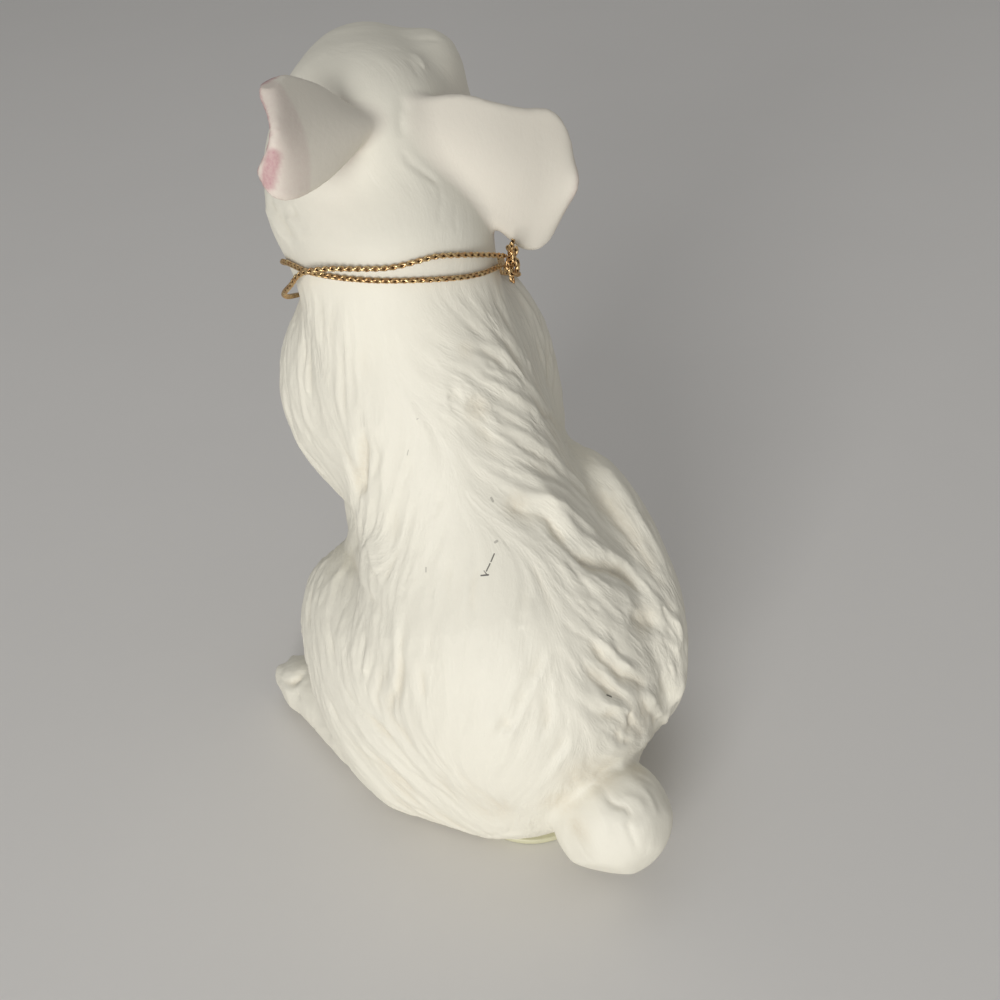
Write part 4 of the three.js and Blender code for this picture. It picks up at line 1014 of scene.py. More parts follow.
def vertex_normals(points, faces):
    a, b, c, d = (points[faces[:, k]] for k in range(4))
    face_normals = np.cross(c - a, d - b)
    normals = np.zeros_like(points)
    for k in range(4):
        for axis in range(3):
            normals[:, axis] += np.bincount(faces[:, k], face_normals[:, axis], len(points)).astype(np.float32)
    return unit(normals)


# How far the edge of a casting reaches into the joint
JOINT_DEPTH = 1.2


def casting(name, strength):
    """Cuts one casting from the skin and closes it where it is joined on."""
    whole = make_skin(strength)
    faces = whole["faces"][whole["owner"] == CASTINGS.index(name)]
    used, faces = np.unique(faces, return_inverse=True)
    faces = faces.reshape(-1, 4)
    mesh = mesh_from(name + "_skin", (whole["points"][used] + HOME) * MM, faces)
    for layer in ("carving", "fur", "pink", "dust", "lie", "place"):
        store(mesh, layer, whole[layer][used])
    normals = whole["normals"][used]
    mesh.shade_smooth()
    work = bmesh.new()
    work.from_mesh(mesh)
    rim = [edge for edge in work.edges if edge.is_boundary]
    lowered = bmesh.ops.extrude_edge_only(work, edges=rim)["geom"]
    work.verts.index_update()
    for vert in (item for item in lowered if isinstance(item, bmesh.types.BMVert)):
        others = ((edge.other_vert(vert).index, edge) for edge in vert.link_edges)
        above = next(index for index, edge in others if index < len(used) and not edge.is_boundary)
        vert.co -= Vector(normals[above]) * JOINT_DEPTH * MM
    bmesh.ops.holes_fill(work, edges=work.edges[:], sides=0)
    bmesh.ops.triangulate(work, faces=[face for face in work.faces if len(face.verts) > 4])
    work.to_mesh(mesh)
    work.free()
    inner = np.zeros((len(mesh.vertices) - len(used), 3))
    mesh.normals_split_custom_set_from_vertices(np.concatenate([normals, inner]).tolist())
    return piece(mesh, bisque(), "bisque", name)


# Cord

# Its route round the neck, from the knot and back to it: turns from the back of the neck towards
# the left, height over the ring's plane, and how far it stands off its seat.
CORD_ROUTE = [
    (-0.11, 3.4, 1.7), (-0.092, 3.6, 1.3), (-0.055, 3.9, 0.4), (0, 4.1, 0), (0.03, 4.05, 0), (0.055, 3.4, 0),
    (0.078, 2.7, 0), (0.1, 2.3, 0.15), (0.135, 2.3, 0.3), (0.17, 2.4, 0.9), (0.2, 2, 1.5), (0.225, 1, 1.6),
    (0.25, -0.8, 1.7), (0.3, -2.6, 2), (0.36, -3.6, 1.7), (0.45, -4, 1.2), (0.6, -3.6, 0.4), (0.74, -0.6, 0),
    (0.8, 1.4, 0), (0.86, 1.6, 0), (0.91, 1.1, 0), (0.95, 0.5, 0), (1, 0.1, 0), (1.09, 0.1, 0), (1.14, 0.5, 0),
    (1.18, 1.1, 0), (1.22, 1.9, 0), (1.26, 2.9, 0), (1.3, 3.4, 0), (1.36, 2.8, 0), (1.5, 2, 0), (1.65, 1.8, 0),
    (1.72, 1.6, 0.6), (1.79, 1.2, 1.1), (1.85, 0.9, 0.8), (1.87, 1, 1.1), (1.885, 1.3, 1.6),
]
# The knot: turn and height as above, how far it stands off, its radius, and its width, height and depth in radii
KNOT_PLACE = (-0.12, 2.7)
KNOT_STAND_OFF = 1.0
KNOT_RADIUS = 1.45
KNOT_SHAPE = (0.36, 0.62, 0.5)
KNOT_PHASE = 0.35
CORD_END_LENGTH = 2.2
CORD_END_LEAN = 0.4
CORD_SEAT = 0.15
# The braid: yarns each way, and mm of cord for a turn. The rest is in radii of the cord.
YARNS = 2
YARN_PITCH = 3.1
CORE_HALF = 0.42
YARN_PLACE = 0.53
YARN_HALF_WIDTH = 0.44
YARN_HALF_HEIGHT = 0.33
YARN_WAVE = 0.12


def neck_ring():
    """Axes of the ring round the neck: towards the left, to the back and up along the neck."""
    return turned((NECK_JOINT["lean"], -NECK_JOINT["tilt"], 0)).astype(float)


def run_along(line):
    """Length of a line up to each of its points."""
    return np.concatenate([[0], np.cumsum(np.linalg.norm(np.diff(line, axis=0), axis=1))])


def round_neck(turn, height, stand_off, radius):
    """Points round the neck, `stand_off` outside the cord's seat."""
    turn, height, stand_off = (np.atleast_1d(np.array(value, float)) for value in (turn, height, stand_off))
    ring = neck_ring()
    angle = turn * 2 * math.pi
    origin = np.array(NECK_JOINT["centre"]) + height[:, None] * ring[:, 2]
    direction = np.stack([np.sin(angle), np.cos(angle), 0 * angle], 1) @ ring.T
    least, most = np.full(len(turn), 8.0), np.full(len(turn), 40.0)
    for _ in range(16):
        middle = (least + most) / 2
        value = skin_distance((origin + direction * middle[:, None]).astype(np.float32)) - radius - CORD_SEAT
        least, most = np.where(value < 0, middle, least), np.where(value < 0, most, middle)
    return origin + direction * (least + stand_off)[:, None]


def neck_route(radius):
    route = curve(CORD_ROUTE, 0.02)
    points = round_neck(route[:, 0], route[:, 1], route[:, 2], radius)
    return evenly(points, 0.2)


def evenly(points, step):
    """The same line with points an even step apart."""
    run = run_along(points)
    places = np.linspace(0, run[-1], int(run[-1] / step) + 1)
    line = np.stack([np.interp(places, run, points[:, k]) for k in range(3)], 1)
    for _ in range(6):
        line[1:-1] = 0.25 * line[:-2] + 0.5 * line[1:-1] + 0.25 * line[2:]
    return line


def knot_frame(radius):
    """Middle of the knot and the direction that it faces."""
    turn, height = KNOT_PLACE
    out = neck_ring() @ np.array([math.sin(turn * 2 * math.pi), math.cos(turn * 2 * math.pi), 0])
    middle = round_neck(turn, height, KNOT_RADIUS / 2 + 2 * radius + KNOT_STAND_OFF, radius)[0]
    return middle, out


def knot_route(radius):
    """A trefoil laid flat against the neck."""
    middle, out = knot_frame(radius)
    up = neck_ring()[:, 2]
    side = np.cross(up, out)
    wide, high, deep = KNOT_SHAPE
    u = np.linspace(0, 4 * math.pi, 220) + KNOT_PHASE
    swing = 1.5 * (u - KNOT_PHASE)
    across, along = (2 + np.cos(swing)) * wide * np.cos(u), (2 + np.cos(swing)) * high * np.sin(u)
    flat = across[:, None] * side + along[:, None] * up + deep * np.sin(swing)[:, None] * out
    return flat * KNOT_RADIUS + middle


def end_route(away, radius):
    """A cut end that starts in the knot and leans off the neck."""
    middle, out = knot_frame(radius)
    away = np.array(away, float) / np.linalg.norm(away)
    start = middle + away * (KNOT_RADIUS * 1.5 - radius)
    end = start + away * (CORD_END_LENGTH + 2 * radius) + out * CORD_END_LEAN
    return evenly(curve([start, (start + end) / 2 - out * CORD_END_LEAN / 4, end], 0.2), 0.15)


def cross_frames(line, closed=False):
    """Two directions across a line, without twist along it."""
    tangent = unit(np.gradient(line, axis=0))
    side = np.cross(tangent[0], [0.3, 0.2, 1])
    sides = []
    for direction in tangent:
        side = side - direction * (side @ direction)
        side = side / np.linalg.norm(side)
        sides.append(side)
    sides = np.array(sides)
    across = np.cross(tangent, sides)
    if closed:
        slip = math.atan2(sides[-1] @ across[0], sides[-1] @ sides[0])
        angle = (-slip * np.linspace(0, 1, len(line)))[:, None]
        sides, across = sides * np.cos(angle) + across * np.sin(angle), across * np.cos(angle) - sides * np.sin(angle)
    return sides, across


def tube(line, half_width, half_height, up, corners=8):
    """Yarn along a line, flat side along `up`: vertices, faces and UVs."""
    tangent = unit(np.gradient(line, axis=0))
    up = unit(up - tangent * (up * tangent).sum(1, keepdims=True))
    side = np.cross(tangent, up)
    angle = np.arange(corners) * 2 * math.pi / corners
    rings = line[:, None] + half_width * np.cos(angle)[None, :, None] * side[:, None]
    rings = rings + half_height * np.sin(angle)[None, :, None] * up[:, None]
    index = np.arange(len(line) * corners).reshape(len(line), corners)
    after = np.roll(index, -1, axis=1)
    quads = np.stack([index[:-1], after[:-1], after[1:], index[1:]], -1).reshape(-1, 4)
    run = run_along(line)
    uv = np.stack(np.broadcast_arrays(np.arange(corners)[None] / corners, run[:, None]), -1).reshape(-1, 2)
    caps = [index[0][::-1], index[-1]]
    return rings.reshape(-1, 3), quads, caps, uv


def braid(name, line, radius, closed=False, frayed=0):
    """Four flat yarns plaited round a core along a line, two each way. The far end can be frayed."""
    run = run_along(line)
    turns = run[-1] / YARN_PITCH
    if closed:
        turns = max(round(turns), 1)
    angle = run / run[-1] * turns * 2 * math.pi
    side, across = cross_frames(line, closed)
    wave = YARN_WAVE * radius * np.cos(YARNS * angle)
    opening = frayed * np.clip(1 - (run[-1] - run) / 1.1, 0, 1) ** 2
    vertices, quads, caps, uvs, unshaded_crests = [], [], [], [], []
    count = 0
    parts = [(line, CORE_HALF * radius, CORE_HALF * radius, side)]
    for way in (1, -1):
        for yarn in range(YARNS):
            turn = way * angle + yarn * 2 * math.pi / YARNS
            out = side * np.cos(turn)[:, None] + across * np.sin(turn)[:, None]
            place = YARN_PLACE * radius + way * wave + opening * (0.5 + 0.25 * math.sin(yarn * 2.4 + way))
            parts.append((line + out * place[:, None], YARN_HALF_WIDTH * radius, YARN_HALF_HEIGHT * radius, out))
    for k, (path, wide, high, up) in enumerate(parts):
        points, faces, ends, uv = tube(path, wide, high, up)
        vertices.append(points)
        quads.append(faces + count)
        caps.extend(end + count for end in ends)
        uvs.append(uv + (k * 1.0, k * 0.37))
        corners = len(points) // len(line)
        out = np.linalg.norm(points - np.repeat(line, corners, axis=0), axis=1) / radius
        # How far out each part of a yarn stands; the gold material paints shade where this is low.
        unshaded_crests.append(np.clip((out - 0.55) / 0.4, 0, 1) if k else np.zeros(len(points)))
        count += len(points)
    mesh = bpy.data.meshes.new(name)
    vertices = (np.concatenate(vertices) + HOME) * MM
    mesh.from_pydata(vertices.tolist(), [], np.concatenate(quads).tolist() + [cap.tolist() for cap in caps])
    store(mesh, "yarn", np.concatenate(uvs))
    store(mesh, "unshaded_crest", np.concatenate(unshaded_crests))
    mesh.shade_smooth()
    return mesh


# Materials

def principled(name, colour, roughness, metallic=0.0):
    material = bpy.data.materials.new(name)
    material.use_nodes = True
    shader = material.node_tree.nodes["Principled BSDF"]
    shader.inputs["Base Color"].default_value = (*colour, 1)
    shader.inputs["Roughness"].default_value = roughness
    shader.inputs["Metallic"].default_value = metallic
    return material, shader


def new_group(name, inputs, outputs):
    """An empty shader node group with named sockets."""
    group = bpy.data.node_groups.new(name, "ShaderNodeTree")
    for label, kind in inputs:
        group.interface.new_socket(label, in_out="INPUT", socket_type="NodeSocket" + kind)
    for label, kind in outputs:
        group.interface.new_socket(label, in_out="OUTPUT", socket_type="NodeSocket" + kind)
    return group, group.nodes.new("NodeGroupInput"), group.nodes.new("NodeGroupOutput")


def add(tree, kind, settings=None, **values):
    """A node with its settings and socket values, by name or as s0, s1... A value can be another node's output."""
    made = tree.nodes.new(kind)
    for key, value in (settings or {}).items():
        setattr(made, key, value)
    for key, value in values.items():
        numbered = key[0] == "s" and key[1:].isdigit()
        socket = made.inputs[int(key[1:]) if numbered else key.replace("_", " ")]
        if isinstance(value, bpy.types.NodeSocket):
            tree.links.new(value, socket)
        else:
            socket.default_value = value
    return made


def maths(tree, operation, first, second=0.0, third=0.0, clamp=False):
    settings = {"operation": operation, "use_clamp": clamp}
    return add(tree, "ShaderNodeMath", settings, s0=first, s1=second, s2=third).outputs[0]


def blend(tree, share, first, second, kind="MIX"):
    """Mixes two colours by a share."""
    made = add(tree, "ShaderNodeMix", {"data_type": "RGBA", "blend_type": kind})
    for socket, value in ((made.inputs[0], share), (made.inputs[6], first), (made.inputs[7], second)):
        if isinstance(value, bpy.types.NodeSocket):
            tree.links.new(value, socket)
        elif socket is made.inputs[0]:
            socket.default_value = value
        else:
            socket.default_value = (*value, 1)
    return made.outputs[2]


def span(tree, value, low, high, start=0.0, end=1.0):
    """A value carried from one range to another, held at its ends."""
    ends = dict(From_Min=low, From_Max=high, To_Min=start, To_Max=end)
    return add(tree, "ShaderNodeMapRange", {"clamp": True}, Value=value, **ends).outputs[0]


def grouped(tree, group, **values):
    return add(tree, "ShaderNodeGroup", {"node_tree": group}, **values)


def attribute(tree, name, output="Fac"):
    return add(tree, "ShaderNodeAttribute", {"attribute_name": name}).outputs[output]


def mottled(tree, colour, patch_size, amount):
    """A colour with slow and fine variation, and its grain."""
    node = grouped(tree, mottle_group(), Color=(*colour, 1), Patch_Size=patch_size, Amount=amount)
    return node.outputs["Color"], node.outputs["Grain"]


def bumped(tree, shader, height, strength, distance):
    """Bump on a material, `distance` metres high."""
    bump = add(tree, "ShaderNodeBump", Strength=strength, Distance=distance, Height=height)
    tree.links.new(bump.outputs[0], shader.inputs["Normal"])


def darker(colour, share):
    return tuple(share * value for value in colour)


def mottle_group():
    """Slow and fine variation of a colour over a surface."""
    group = bpy.data.node_groups.get("mottle")
    if group:
        return group
    group, given, result = new_group(
        "mottle",
        (("Color", "Color"), ("Patch Size", "Float"), ("Amount", "Float")),
        (("Color", "Color"), ("Grain", "Float")),
    )
    place = add(group, "ShaderNodeTexCoord").outputs["Object"]
    scale = maths(group, "DIVIDE", 1.0, given.outputs["Patch Size"])
    patches = add(group, "ShaderNodeTexNoise", Vector=place, Scale=scale, Detail=3.0, Roughness=0.55).outputs[0]
    fine = maths(group, "MULTIPLY", scale, 14.0)
    grain = add(group, "ShaderNodeTexNoise", Vector=place, Scale=fine, Detail=2.0, Roughness=0.6).outputs[0]
    slow, quick = (maths(group, "SUBTRACT", noise, 0.5) for noise in (patches, grain))
    total = maths(group, "MULTIPLY_ADD", quick, 0.35, slow)
    light = maths(group, "MULTIPLY_ADD", maths(group, "MULTIPLY", total, given.outputs["Amount"]), 2.0, 1.0)
    tinted = add(group, "ShaderNodeVectorMath", {"operation": "SCALE"}, s0=given.outputs["Color"], Scale=light)
    group.links.new(tinted.outputs[0], result.inputs["Color"])
    group.links.new(grain, result.inputs["Grain"])
    return group


# Metres between the places along a hair whose noise is averaged
HAIR_STEP = 0.0006


def hair_group():
    """Ridged hair lines drawn out along the lie of the fur, fine over coarse, in broken patches."""
    group, given, result = new_group(
        "hair lines", (("Lie", "Vector"), ("Hair Width", "Float")), (("Height", "Float"),),
    )
    place = add(group, "ShaderNodeTexCoord").outputs["Object"]
    scale = maths(group, "DIVIDE", 1.0, given.outputs["Hair Width"])
    height = None
    for finer_by, share, patch in ((1.0, 1.0, 120.0), (2.1, 0.45, 190.0)):
        layer_scale = maths(group, "MULTIPLY", scale, finer_by)
        total = None
        for k in range(-3, 4):
            values = dict(s0=given.outputs["Lie"], s1=(k * HAIR_STEP / finer_by,) * 3, s2=place)
            moved = add(group, "ShaderNodeVectorMath", {"operation": "MULTIPLY_ADD"}, **values)
            value = add(group, "ShaderNodeTexNoise", Vector=moved.outputs[0], Scale=layer_scale, Detail=0.0).outputs[0]
            total = value if total is None else maths(group, "ADD", total, value)
        ridge = maths(group, "ABSOLUTE", maths(group, "MULTIPLY_ADD", total, 1 / 7, -0.5))
        patches = add(group, "ShaderNodeTexNoise", Vector=place, Scale=patch, Detail=1.0).outputs[0]
        broken = span(group, patches, 0.38, 0.62, 0.15, 1.0)
        layer = maths(group, "MULTIPLY", maths(group, "MULTIPLY", ridge, -share), broken)
        height = layer if height is None else maths(group, "ADD", height, layer)
    group.links.new(height, result.inputs["Height"])
    return group


def mark_group():
    """Distance in metres to a short line."""
    group = bpy.data.node_groups.get("mark")
    if group:
        return group
    group, given, result = new_group(
        "mark", (("Place", "Vector"), ("From", "Vector"), ("To", "Vector")), (("Distance", "Float"),),
    )

    def vector(operation, first, second, output="Vector"):
        return add(group, "ShaderNodeVectorMath", {"operation": operation}, s0=first, s1=second).outputs[output]

    span_vector = vector("SUBTRACT", given.outputs["To"], given.outputs["From"])
    offset = vector("SUBTRACT", given.outputs["Place"], given.outputs["From"])
    square = maths(group, "MAXIMUM", vector("DOT_PRODUCT", span_vector, span_vector, "Value"), 1e-12)
    share = maths(group, "DIVIDE", vector("DOT_PRODUCT", offset, span_vector, "Value"), square, clamp=True)
    reached = add(group, "ShaderNodeVectorMath", {"operation": "SCALE"}, s0=span_vector, Scale=share).outputs[0]
    group.links.new(vector("DISTANCE", offset, reached, "Value"), result.inputs["Distance"])
    return group


def spots(tree, place, marks):
    """Least distance in metres to the rims of some marks: two ends and a radius in mm, in the figurine's frame."""
    least = None
    for start, end, radius in marks:
        start, end = (tuple((np.array(value) + HOME) * MM) for value in (start, end))
        away = grouped(tree, mark_group(), Place=place, From=start, To=end).outputs[0]
        away = maths(tree, "SUBTRACT", away, radius * MM)
        least = away if least is None else maths(tree, "MINIMUM", least, away)
    return least


# Dark specks and scratches in the surface: two ends and a radius
SPECKS = (
    ((11, 5.8, 95.6), (10.6, 6, 95.8), 0.16), ((14.1, 6.3, 89.2), (13.7, 6.2, 90.1), 0.07),
    ((-2.4, 7.7, 98.7), (-2.5, 7.7, 98.7), 0.13), ((11.6, -1, 117.1), (11.5, -0.9, 117.1), 0.16),
    ((6.2, 22.5, 73), (7.3, 23.1, 72.1), 0.09), ((7.6, 23.2, 71.8), (8.7, 23.7, 70.9), 0.08),
    ((9.9, 23.7, 70.4), (8.7, 24.3, 70.4), 0.12), ((9.1, 23.5, 71), (8.9, 24.2, 70.4), 0.08),
    ((24.3, -24.7, 90), (24.5, -24.8, 89.2), 0.1), ((24.2, -22.8, 89.5), (24.4, -22.7, 88.7), 0.08),
    ((33.4, 1.3, 43.2), (33.9, 2.1, 42), 0.12), ((-4.9, 42.4, 46.8), (-5.8, 42.5, 45.9), 0.1),
    ((4.2, -10.6, 139.8), (4.3, -10.6, 139.7), 0.1), ((-18.8, -8.5, 131.4), (-18.9, -8.5, 131.3), 0.1),
)
FAINT_SPECKS = (
    ((-17.3, -11, 137.8), (-17.4, -10.1, 135.9), 0.06), ((-17.4, -10.1, 135.9), (-17.4, -9.6, 134.5), 0.06),
    ((-20.1, -8.1, 126.9), (-20.1, -8.1, 126.8), 0.12), ((19.4, -8, 100.4), (19.3, -7.5, 100.4), 0.15),
    ((17.5, 16, 70.5), (17.8, 16.4, 69.9), 0.1), ((2.8, 16.5, 80.7), (2.7, 16.9, 80.2), 0.2),
    ((5.2, 21.3, 74.5), (4.8, 21.3, 74.6), 0.2),
)


SPECK_COLOUR = (0.05, 0.045, 0.04)
IRIS_RADIUS = 2.5
PUPIL_RADIUS, PUPIL_COLOUR = 1.35, (0.01, 0.008, 0.007)
GLINT_RADIUS, GLINT_COLOUR = 0.3, (0.85, 0.85, 0.83)


def eye_points():
    """Middle of each painted eye, and of its glint, in mm."""
    points = []
    for eye in (EYE, other_side(EYE)):
        centre = np.array(eye["centre"], float)
        out = np.array([np.sign(centre[0]) * 0.93, -0.34, 0.12])
        front = centre + out * (np.array(eye["radii"]) * 0.98)
        glint = front + np.array([0, -0.5, 0.8])
        points.append((from_head(front), from_head(glint)))
    return points


def bisque():
    """Unglazed porcelain with fur lines, brushed pink, settled dust and painted shade, specks and painted eyes."""
    material = bpy.data.materials.get("carved bisque")
    if material:
        return material
    colours = bpy.context.scene.figurine_colours
    material, shader = principled("carved bisque", colours.porcelain, 0.55)
    shader.inputs["Specular IOR Level"].default_value = 0.3
    tree = material.node_tree
    place = attribute(tree, "place", "Vector")
    colour, grain = mottled(tree, colours.porcelain, 0.011, 0.035)
    pink = maths(tree, "MULTIPLY", attribute(tree, "pink"), span(tree, grain, 0.3, 0.7, 0.8, 1.05), clamp=True)
    colour = blend(tree, pink, colour, colours.pink)
    # Dust tint, which is also painted shade in the carving, at the tail's join, under the cord and round the base.
    dust = maths(tree, "MULTIPLY", attribute(tree, "dust"), span(tree, grain, 0.35, 0.65, 0.45, 0.8))
    colour = blend(tree, dust, colour, colours.dust)
    for marks, share in ((FAINT_SPECKS, 0.4), (SPECKS, 0.93)):
        speck = span(tree, spots(tree, place, marks), -0.00003, 0.00009, share, 0.0)
        colour = blend(tree, speck, colour, SPECK_COLOUR)
    fronts, glints = zip(*eye_points())
    iris_rim = spots(tree, place, [(front, front, IRIS_RADIUS) for front in fronts])
    iris = span(tree, iris_rim, -0.00006, 0.00006, 1.0, 0.0)
    ring = span(tree, iris_rim, -0.0011, -0.0002)
    colour = blend(tree, iris, colour, blend(tree, ring, colours.eyes, darker(colours.eyes, 0.25)))
    pupil_rim = spots(tree, place, [(front, front, PUPIL_RADIUS) for front in fronts])
    colour = blend(tree, span(tree, pupil_rim, -0.00006, 0.00006, 1.0, 0.0), colour, PUPIL_COLOUR)
    glint_rim = spots(tree, place, [(glint, glint, GLINT_RADIUS) for glint in glints])
    colour = blend(tree, span(tree, glint_rim, -0.00005, 0.00005, 1.0, 0.0), colour, GLINT_COLOUR)
    tree.links.new(colour, shader.inputs["Base Color"])
    rough = span(tree, grain, 0.3, 0.7, 0.5, 0.62)
    rough = maths(tree, "MULTIPLY_ADD", iris, -0.35, rough)
    tree.links.new(rough, shader.inputs["Roughness"])
    hair = grouped(tree, hair_group(), Lie=attribute(tree, "lie", "Vector"), Hair_Width=0.0011).outputs["Height"]
    lines = maths(tree, "MULTIPLY", hair, maths(tree, "MULTIPLY_ADD", attribute(tree, "fur"), 0.85, 0.12))
    height = maths(tree, "MULTIPLY_ADD", grain, 0.05, lines)
    bumped(tree, shader, height, 0.5, 0.001)
    return material


def gold():
    """Metallised yarn, with fine filaments along it, patches of tarnish, and painted shade between the yarns and on the
    core.
    """
    material = bpy.data.materials.get("gold braid")
    if material:
        return material
    colours = bpy.context.scene.figurine_colours
    material, shader = principled("gold braid", colours.gold, 0.28, 1.0)
    tree = material.node_tree
    yarn = attribute(tree, "yarn", "Vector")
    along = add(tree, "ShaderNodeMapping", Vector=yarn, Scale=(30.0, 0.9, 1.0)).outputs[0]
    filament = add(tree, "ShaderNodeTexNoise", Vector=along, Scale=1.0, Detail=2.0).outputs[0]
    slow = add(tree, "ShaderNodeMapping", Vector=yarn, Scale=(1.0, 0.35, 1.0)).outputs[0]
    tarnish = add(tree, "ShaderNodeTexNoise", Vector=slow, Scale=1.0, Detail=2.0).outputs[0]
    colour = blend(tree, span(tree, tarnish, 0.35, 0.75), colours.gold, colours.gold_tarnish_and_shade)
    colour = blend(tree, span(tree, filament, 0.35, 0.7, 0.0, 0.4), colour, darker(colours.gold_tarnish_and_shade, 0.4))
    # Painted shade: the core and the inner sides of the yarns are darkened nearly to black.
    unshaded_crest = span(tree, attribute(tree, "unshaded_crest"), 0.0, 0.75)
    colour = blend(tree, unshaded_crest, darker(colours.gold_tarnish_and_shade, 0.16), colour)
    tree.links.new(colour, shader.inputs["Base Color"])
    tree.links.new(span(tree, filament, 0.3, 0.7, 0.18, 0.38), shader.inputs["Roughness"])
    bumped(tree, shader, filament, 0.5, 0.00005)
    return material


def vinyl():
    """Clear vinyl that has yellowed with age."""
    material = bpy.data.materials.get("aged vinyl")
    if material:
        return material
    colours = bpy.context.scene.figurine_colours
    material, shader = principled("aged vinyl", colours.vinyl, 0.42)
    tree = material.node_tree
    colour, grain = mottled(tree, colours.vinyl, 0.004, 0.12)
    tree.links.new(colour, shader.inputs["Base Color"])
    tree.links.new(span(tree, grain, 0.3, 0.7, 0.34, 0.52), shader.inputs["Roughness"])
    bumped(tree, shader, grain, 0.3, 0.0001)
    return material


# Pads

# From the middle of the underside round to the middle of the top: share of the radius and of the height
PAD_PROFILE = (
    (0, 0.02), (0.55, 0.01), (0.88, 0), (0.965, 0.06), (0.995, 0.22), (1, 0.42), (0.998, 0.72),
    (0.99, 0.92), (0.975, 1), (0.5, 1), (0, 1),
)


def pad_mesh(name, corners=72):
    """A round stick-on pad with a soft lower edge, in the space of its node."""
    low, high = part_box(name)
    middle, radius, height = (low + high) / 2, (high.x - low.x) / 2, high.z - low.z
    mesh = bpy.data.meshes.new(name + "_disc")
    work = bmesh.new()
    rings = []
    for out, up in PAD_PROFILE:
        ring = []
        for corner in range(corners if out else 1):
            angle = 2 * math.pi * corner / corners
            x, y = middle.x + out * radius * math.cos(angle), middle.y + out * radius * math.sin(angle)
            ring.append(work.verts.new((x, y, low.z + up * height)))
        rings.append(ring)
    for lower, upper in zip(rings[:-1], rings[1:]):
        for corner in range(corners):
            after = (corner + 1) % corners
            if len(lower) == 1:
                work.faces.new((lower[0], upper[after], upper[corner]))
            elif len(upper) == 1:
                work.faces.new((lower[corner], lower[after], upper[0]))
            else:
                work.faces.new((lower[corner], lower[after], upper[after], upper[corner]))
    work.to_mesh(mesh)
    work.free()
    mesh.shade_smooth()
    return mesh


# Sizes and colours that a user can change

def colour_property(name, description, default):
    return bpy.props.FloatVectorProperty(
        name=name, description=description, default=default, size=3, min=0, max=1, subtype="COLOR",
    )


class FigurineSizes(bpy.types.PropertyGroup):
    """Sizes of the figurine's finish."""

    fur_strength: bpy.props.FloatProperty(
        name="Fur strength", description="How deep the fur is carved, 1 as on the figurine",
        default=1.0, min=0.0, max=2.0, subtype="FACTOR",
    )
    cord_diameter: bpy.props.FloatProperty(
        name="Cord diameter", description="Thickness of the braided cord",
        default=0.0011, min=0.0006, max=0.0014, unit="LENGTH", precision=5,
    )


class FigurineColours(bpy.types.PropertyGroup):
    """Colours of the figurine and its stage."""

    porcelain: colour_property("Porcelain", "Unglazed porcelain", (0.83, 0.795, 0.68))
    pink: colour_property("Pink", "Colour brushed inside the ears and on the nose", (0.52, 0.31, 0.31))
    dust: colour_property("Dust", "Dust settled in the carving", (0.62, 0.52, 0.36))
    eyes: colour_property("Eyes", "Painted eyes", (0.12, 0.05, 0.02))
    # The dust colour also stands for painted shade in the carving, at joins and round the base.
    gold: colour_property("Gold", "Bright yarn of the cord", (1.0, 0.77, 0.4))
    # This colour serves for tarnish and, much darkened, as painted shade between the yarns.
    gold_tarnish_and_shade: colour_property("Gold shade", "Tarnished yarn of the cord", (0.62, 0.3, 0.12))
    vinyl: colour_property("Vinyl", "Yellowed vinyl of the pads", (0.6, 0.58, 0.4))
    floor: colour_property("Floor", "Plain floor that the figurine stands on", (0.76, 0.74, 0.71))


def piece(mesh, material, slot_name, *nodes):
    """Makes an object of a mesh, which stands for the named nodes."""
    obj = bpy.data.objects.new(mesh.name, mesh)
    bpy.context.scene.collection.objects.link(obj)
    mesh.materials.append(material)
    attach(obj, BODY)
    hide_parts(*nodes)
    return obj


# Stage

CAMERA_AT = (82.7, 191.5, 225.0)
CAMERA_LOOK = (-0.3375, -0.7238, -0.6018)
CAMERA_ROLL = 6.0
CAMERA_LENS = 46.8
FLOOR_HALF = 3
# Lamps: place in metres, size and power
LAMPS = (
    ("key", (0.62, 0.66, 0.29), 0.4, 5.75),
    ("fill", (-0.7, 0.5, 0.3), 0.8, 0.25),
    ("top", (-0.1, -0.3, 0.9), 0.6, 0.7),
)
WORLD_STRENGTH = 0.28


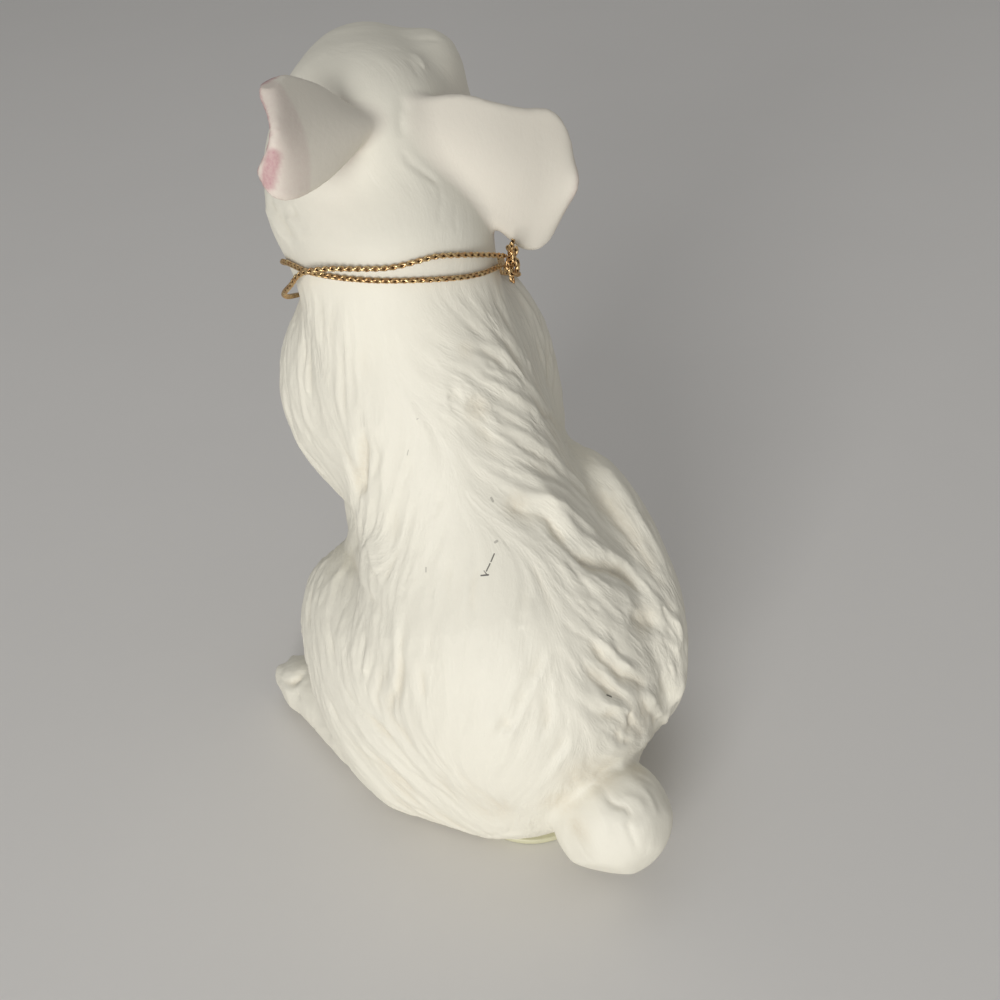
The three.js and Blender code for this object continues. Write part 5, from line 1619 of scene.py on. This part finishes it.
class FIGURINE_OT_stage(bpy.types.Operator):
    """Sets the camera, the lamps and a pale floor."""

    bl_idname = "figurine.stage"
    bl_label = "Stage"

    def execute(self, context):
        scene = context.scene
        scene.view_settings.view_transform = "Standard"
        camera = bpy.data.objects.new("camera", bpy.data.cameras.new("camera"))
        camera.data.lens = CAMERA_LENS
        camera.data.sensor_width = 36
        camera.data.clip_start = 0.01
        look = Vector(CAMERA_LOOK).normalized()
        level = look.cross(Vector((0, 0, 1))).normalized()
        rise = level.cross(look)
        roll = math.radians(CAMERA_ROLL)
        right = level * math.cos(roll) - rise * math.sin(roll)
        up = level * math.sin(roll) + rise * math.cos(roll)
        turn = Matrix((right, up, -look)).transposed()
        camera.matrix_world = Matrix.Translation((np.array(CAMERA_AT) + HOME) * MM) @ turn.to_4x4()
        scene.collection.objects.link(camera)
        scene.camera = camera

        corners = FLOOR_HALF * np.array([(-1, -1, 0), (1, -1, 0), (1, 1, 0), (-1, 1, 0)], float)
        floor = bpy.data.objects.new("floor", mesh_from("floor", corners, np.array([[0, 1, 2, 3]])))
        scene.collection.objects.link(floor)
        floor_colour = scene.figurine_colours.floor
        material, shader = principled("floor", floor_colour, 0.8)
        tree = material.node_tree
        tree.links.new(mottled(tree, floor_colour, 0.05, 0.015)[0], shader.inputs["Base Color"])
        floor.data.materials.append(material)

        for name, place, size, power in LAMPS:
            lamp = bpy.data.lights.new(name, "AREA")
            lamp.size = size
            lamp.energy = power
            obj = bpy.data.objects.new(name, lamp)
            obj.location = place
            obj.rotation_euler = (Vector((0, 0, 0.07)) - Vector(place)).to_track_quat("-Z", "Y").to_euler()
            scene.collection.objects.link(obj)
        world = bpy.data.worlds.new("studio")
        world.use_nodes = True
        sky = world.node_tree.nodes["Background"]
        sky.inputs["Color"].default_value = (1, 1, 1, 1)
        sky.inputs["Strength"].default_value = WORLD_STRENGTH
        scene.world = world
        return {"FINISHED"}


# Pieces

class FIGURINE_OT_castings(bpy.types.Operator):
    """Builds the carved porcelain castings: body, head, ears, tail, forelegs and hind feet."""

    bl_idname = "figurine.castings"
    bl_label = "Porcelain castings"

    def execute(self, context):
        for name in CASTINGS:
            casting(name, context.scene.figurine_sizes.fur_strength)
        return {"FINISHED"}


class FIGURINE_OT_cord(bpy.types.Operator):
    """Plaits the gold cord that goes twice round the neck."""

    bl_idname = "figurine.cord"
    bl_label = "Neck cord"

    def execute(self, context):
        radius = context.scene.figurine_sizes.cord_diameter / MM / 2
        piece(braid("neck_cord_braid", neck_route(radius), radius), gold(), "gold_braid", "neck_cord")
        return {"FINISHED"}


class FIGURINE_OT_knot(bpy.types.Operator):
    """Ties the knot and its two cut ends."""

    bl_idname = "figurine.knot"
    bl_label = "Knot and ends"

    def execute(self, context):
        radius = context.scene.figurine_sizes.cord_diameter / MM / 2
        piece(braid("cord_knot_braid", knot_route(radius), radius, closed=True), gold(), "gold_braid", "cord_knot")
        for node, away in (("cord_end_lower", (0.1, -0.15, -1)), ("cord_end_upper", (0.2, 0.35, 1))):
            mesh = braid(node + "_braid", end_route(away, radius), radius, frayed=0.25)
            piece(mesh, gold(), "gold_braid", node)
        return {"FINISHED"}


class FIGURINE_OT_pads(bpy.types.Operator):
    """Sticks the round vinyl pads under the seat."""

    bl_idname = "figurine.pads"
    bl_label = "Pads"

    def execute(self, context):
        for node in ("rear_pad", "front_pad"):
            piece(pad_mesh(node), vinyl(), "aged_vinyl", node)
        return {"FINISHED"}


class FIGURINE_PT_figurine(bpy.types.Panel):
    """Sizes, colours and pieces of the figurine."""

    bl_label = "Figurine"
    bl_space_type = "VIEW_3D"
    bl_region_type = "UI"
    bl_category = "Figurine"

    def draw(self, context):
        sizes, colours = context.scene.figurine_sizes, context.scene.figurine_colours
        box = self.layout.box()
        for name in FigurineSizes.__annotations__:
            box.prop(sizes, name)
        box = self.layout.box()
        for name in FigurineColours.__annotations__:
            box.prop(colours, name)
        for operator in OPERATORS:
            self.layout.operator(operator.bl_idname)


OPERATORS = (FIGURINE_OT_stage, FIGURINE_OT_castings, FIGURINE_OT_cord, FIGURINE_OT_knot, FIGURINE_OT_pads)
CLASSES = (FigurineSizes, FigurineColours, *OPERATORS, FIGURINE_PT_figurine)


def register():
    for cls in CLASSES:
        bpy.utils.register_class(cls)
    bpy.types.Scene.figurine_sizes = bpy.props.PointerProperty(type=FigurineSizes)
    bpy.types.Scene.figurine_colours = bpy.props.PointerProperty(type=FigurineColours)


def unregister():
    del bpy.types.Scene.figurine_colours
    del bpy.types.Scene.figurine_sizes
    for cls in reversed(CLASSES):
        bpy.utils.unregister_class(cls)


def main():
    register()
    bpy.ops.figurine.stage()
    bpy.ops.figurine.castings()
    bpy.ops.figurine.cord()
    bpy.ops.figurine.knot()
    bpy.ops.figurine.pads()


if __name__ == "__main__":
    main()
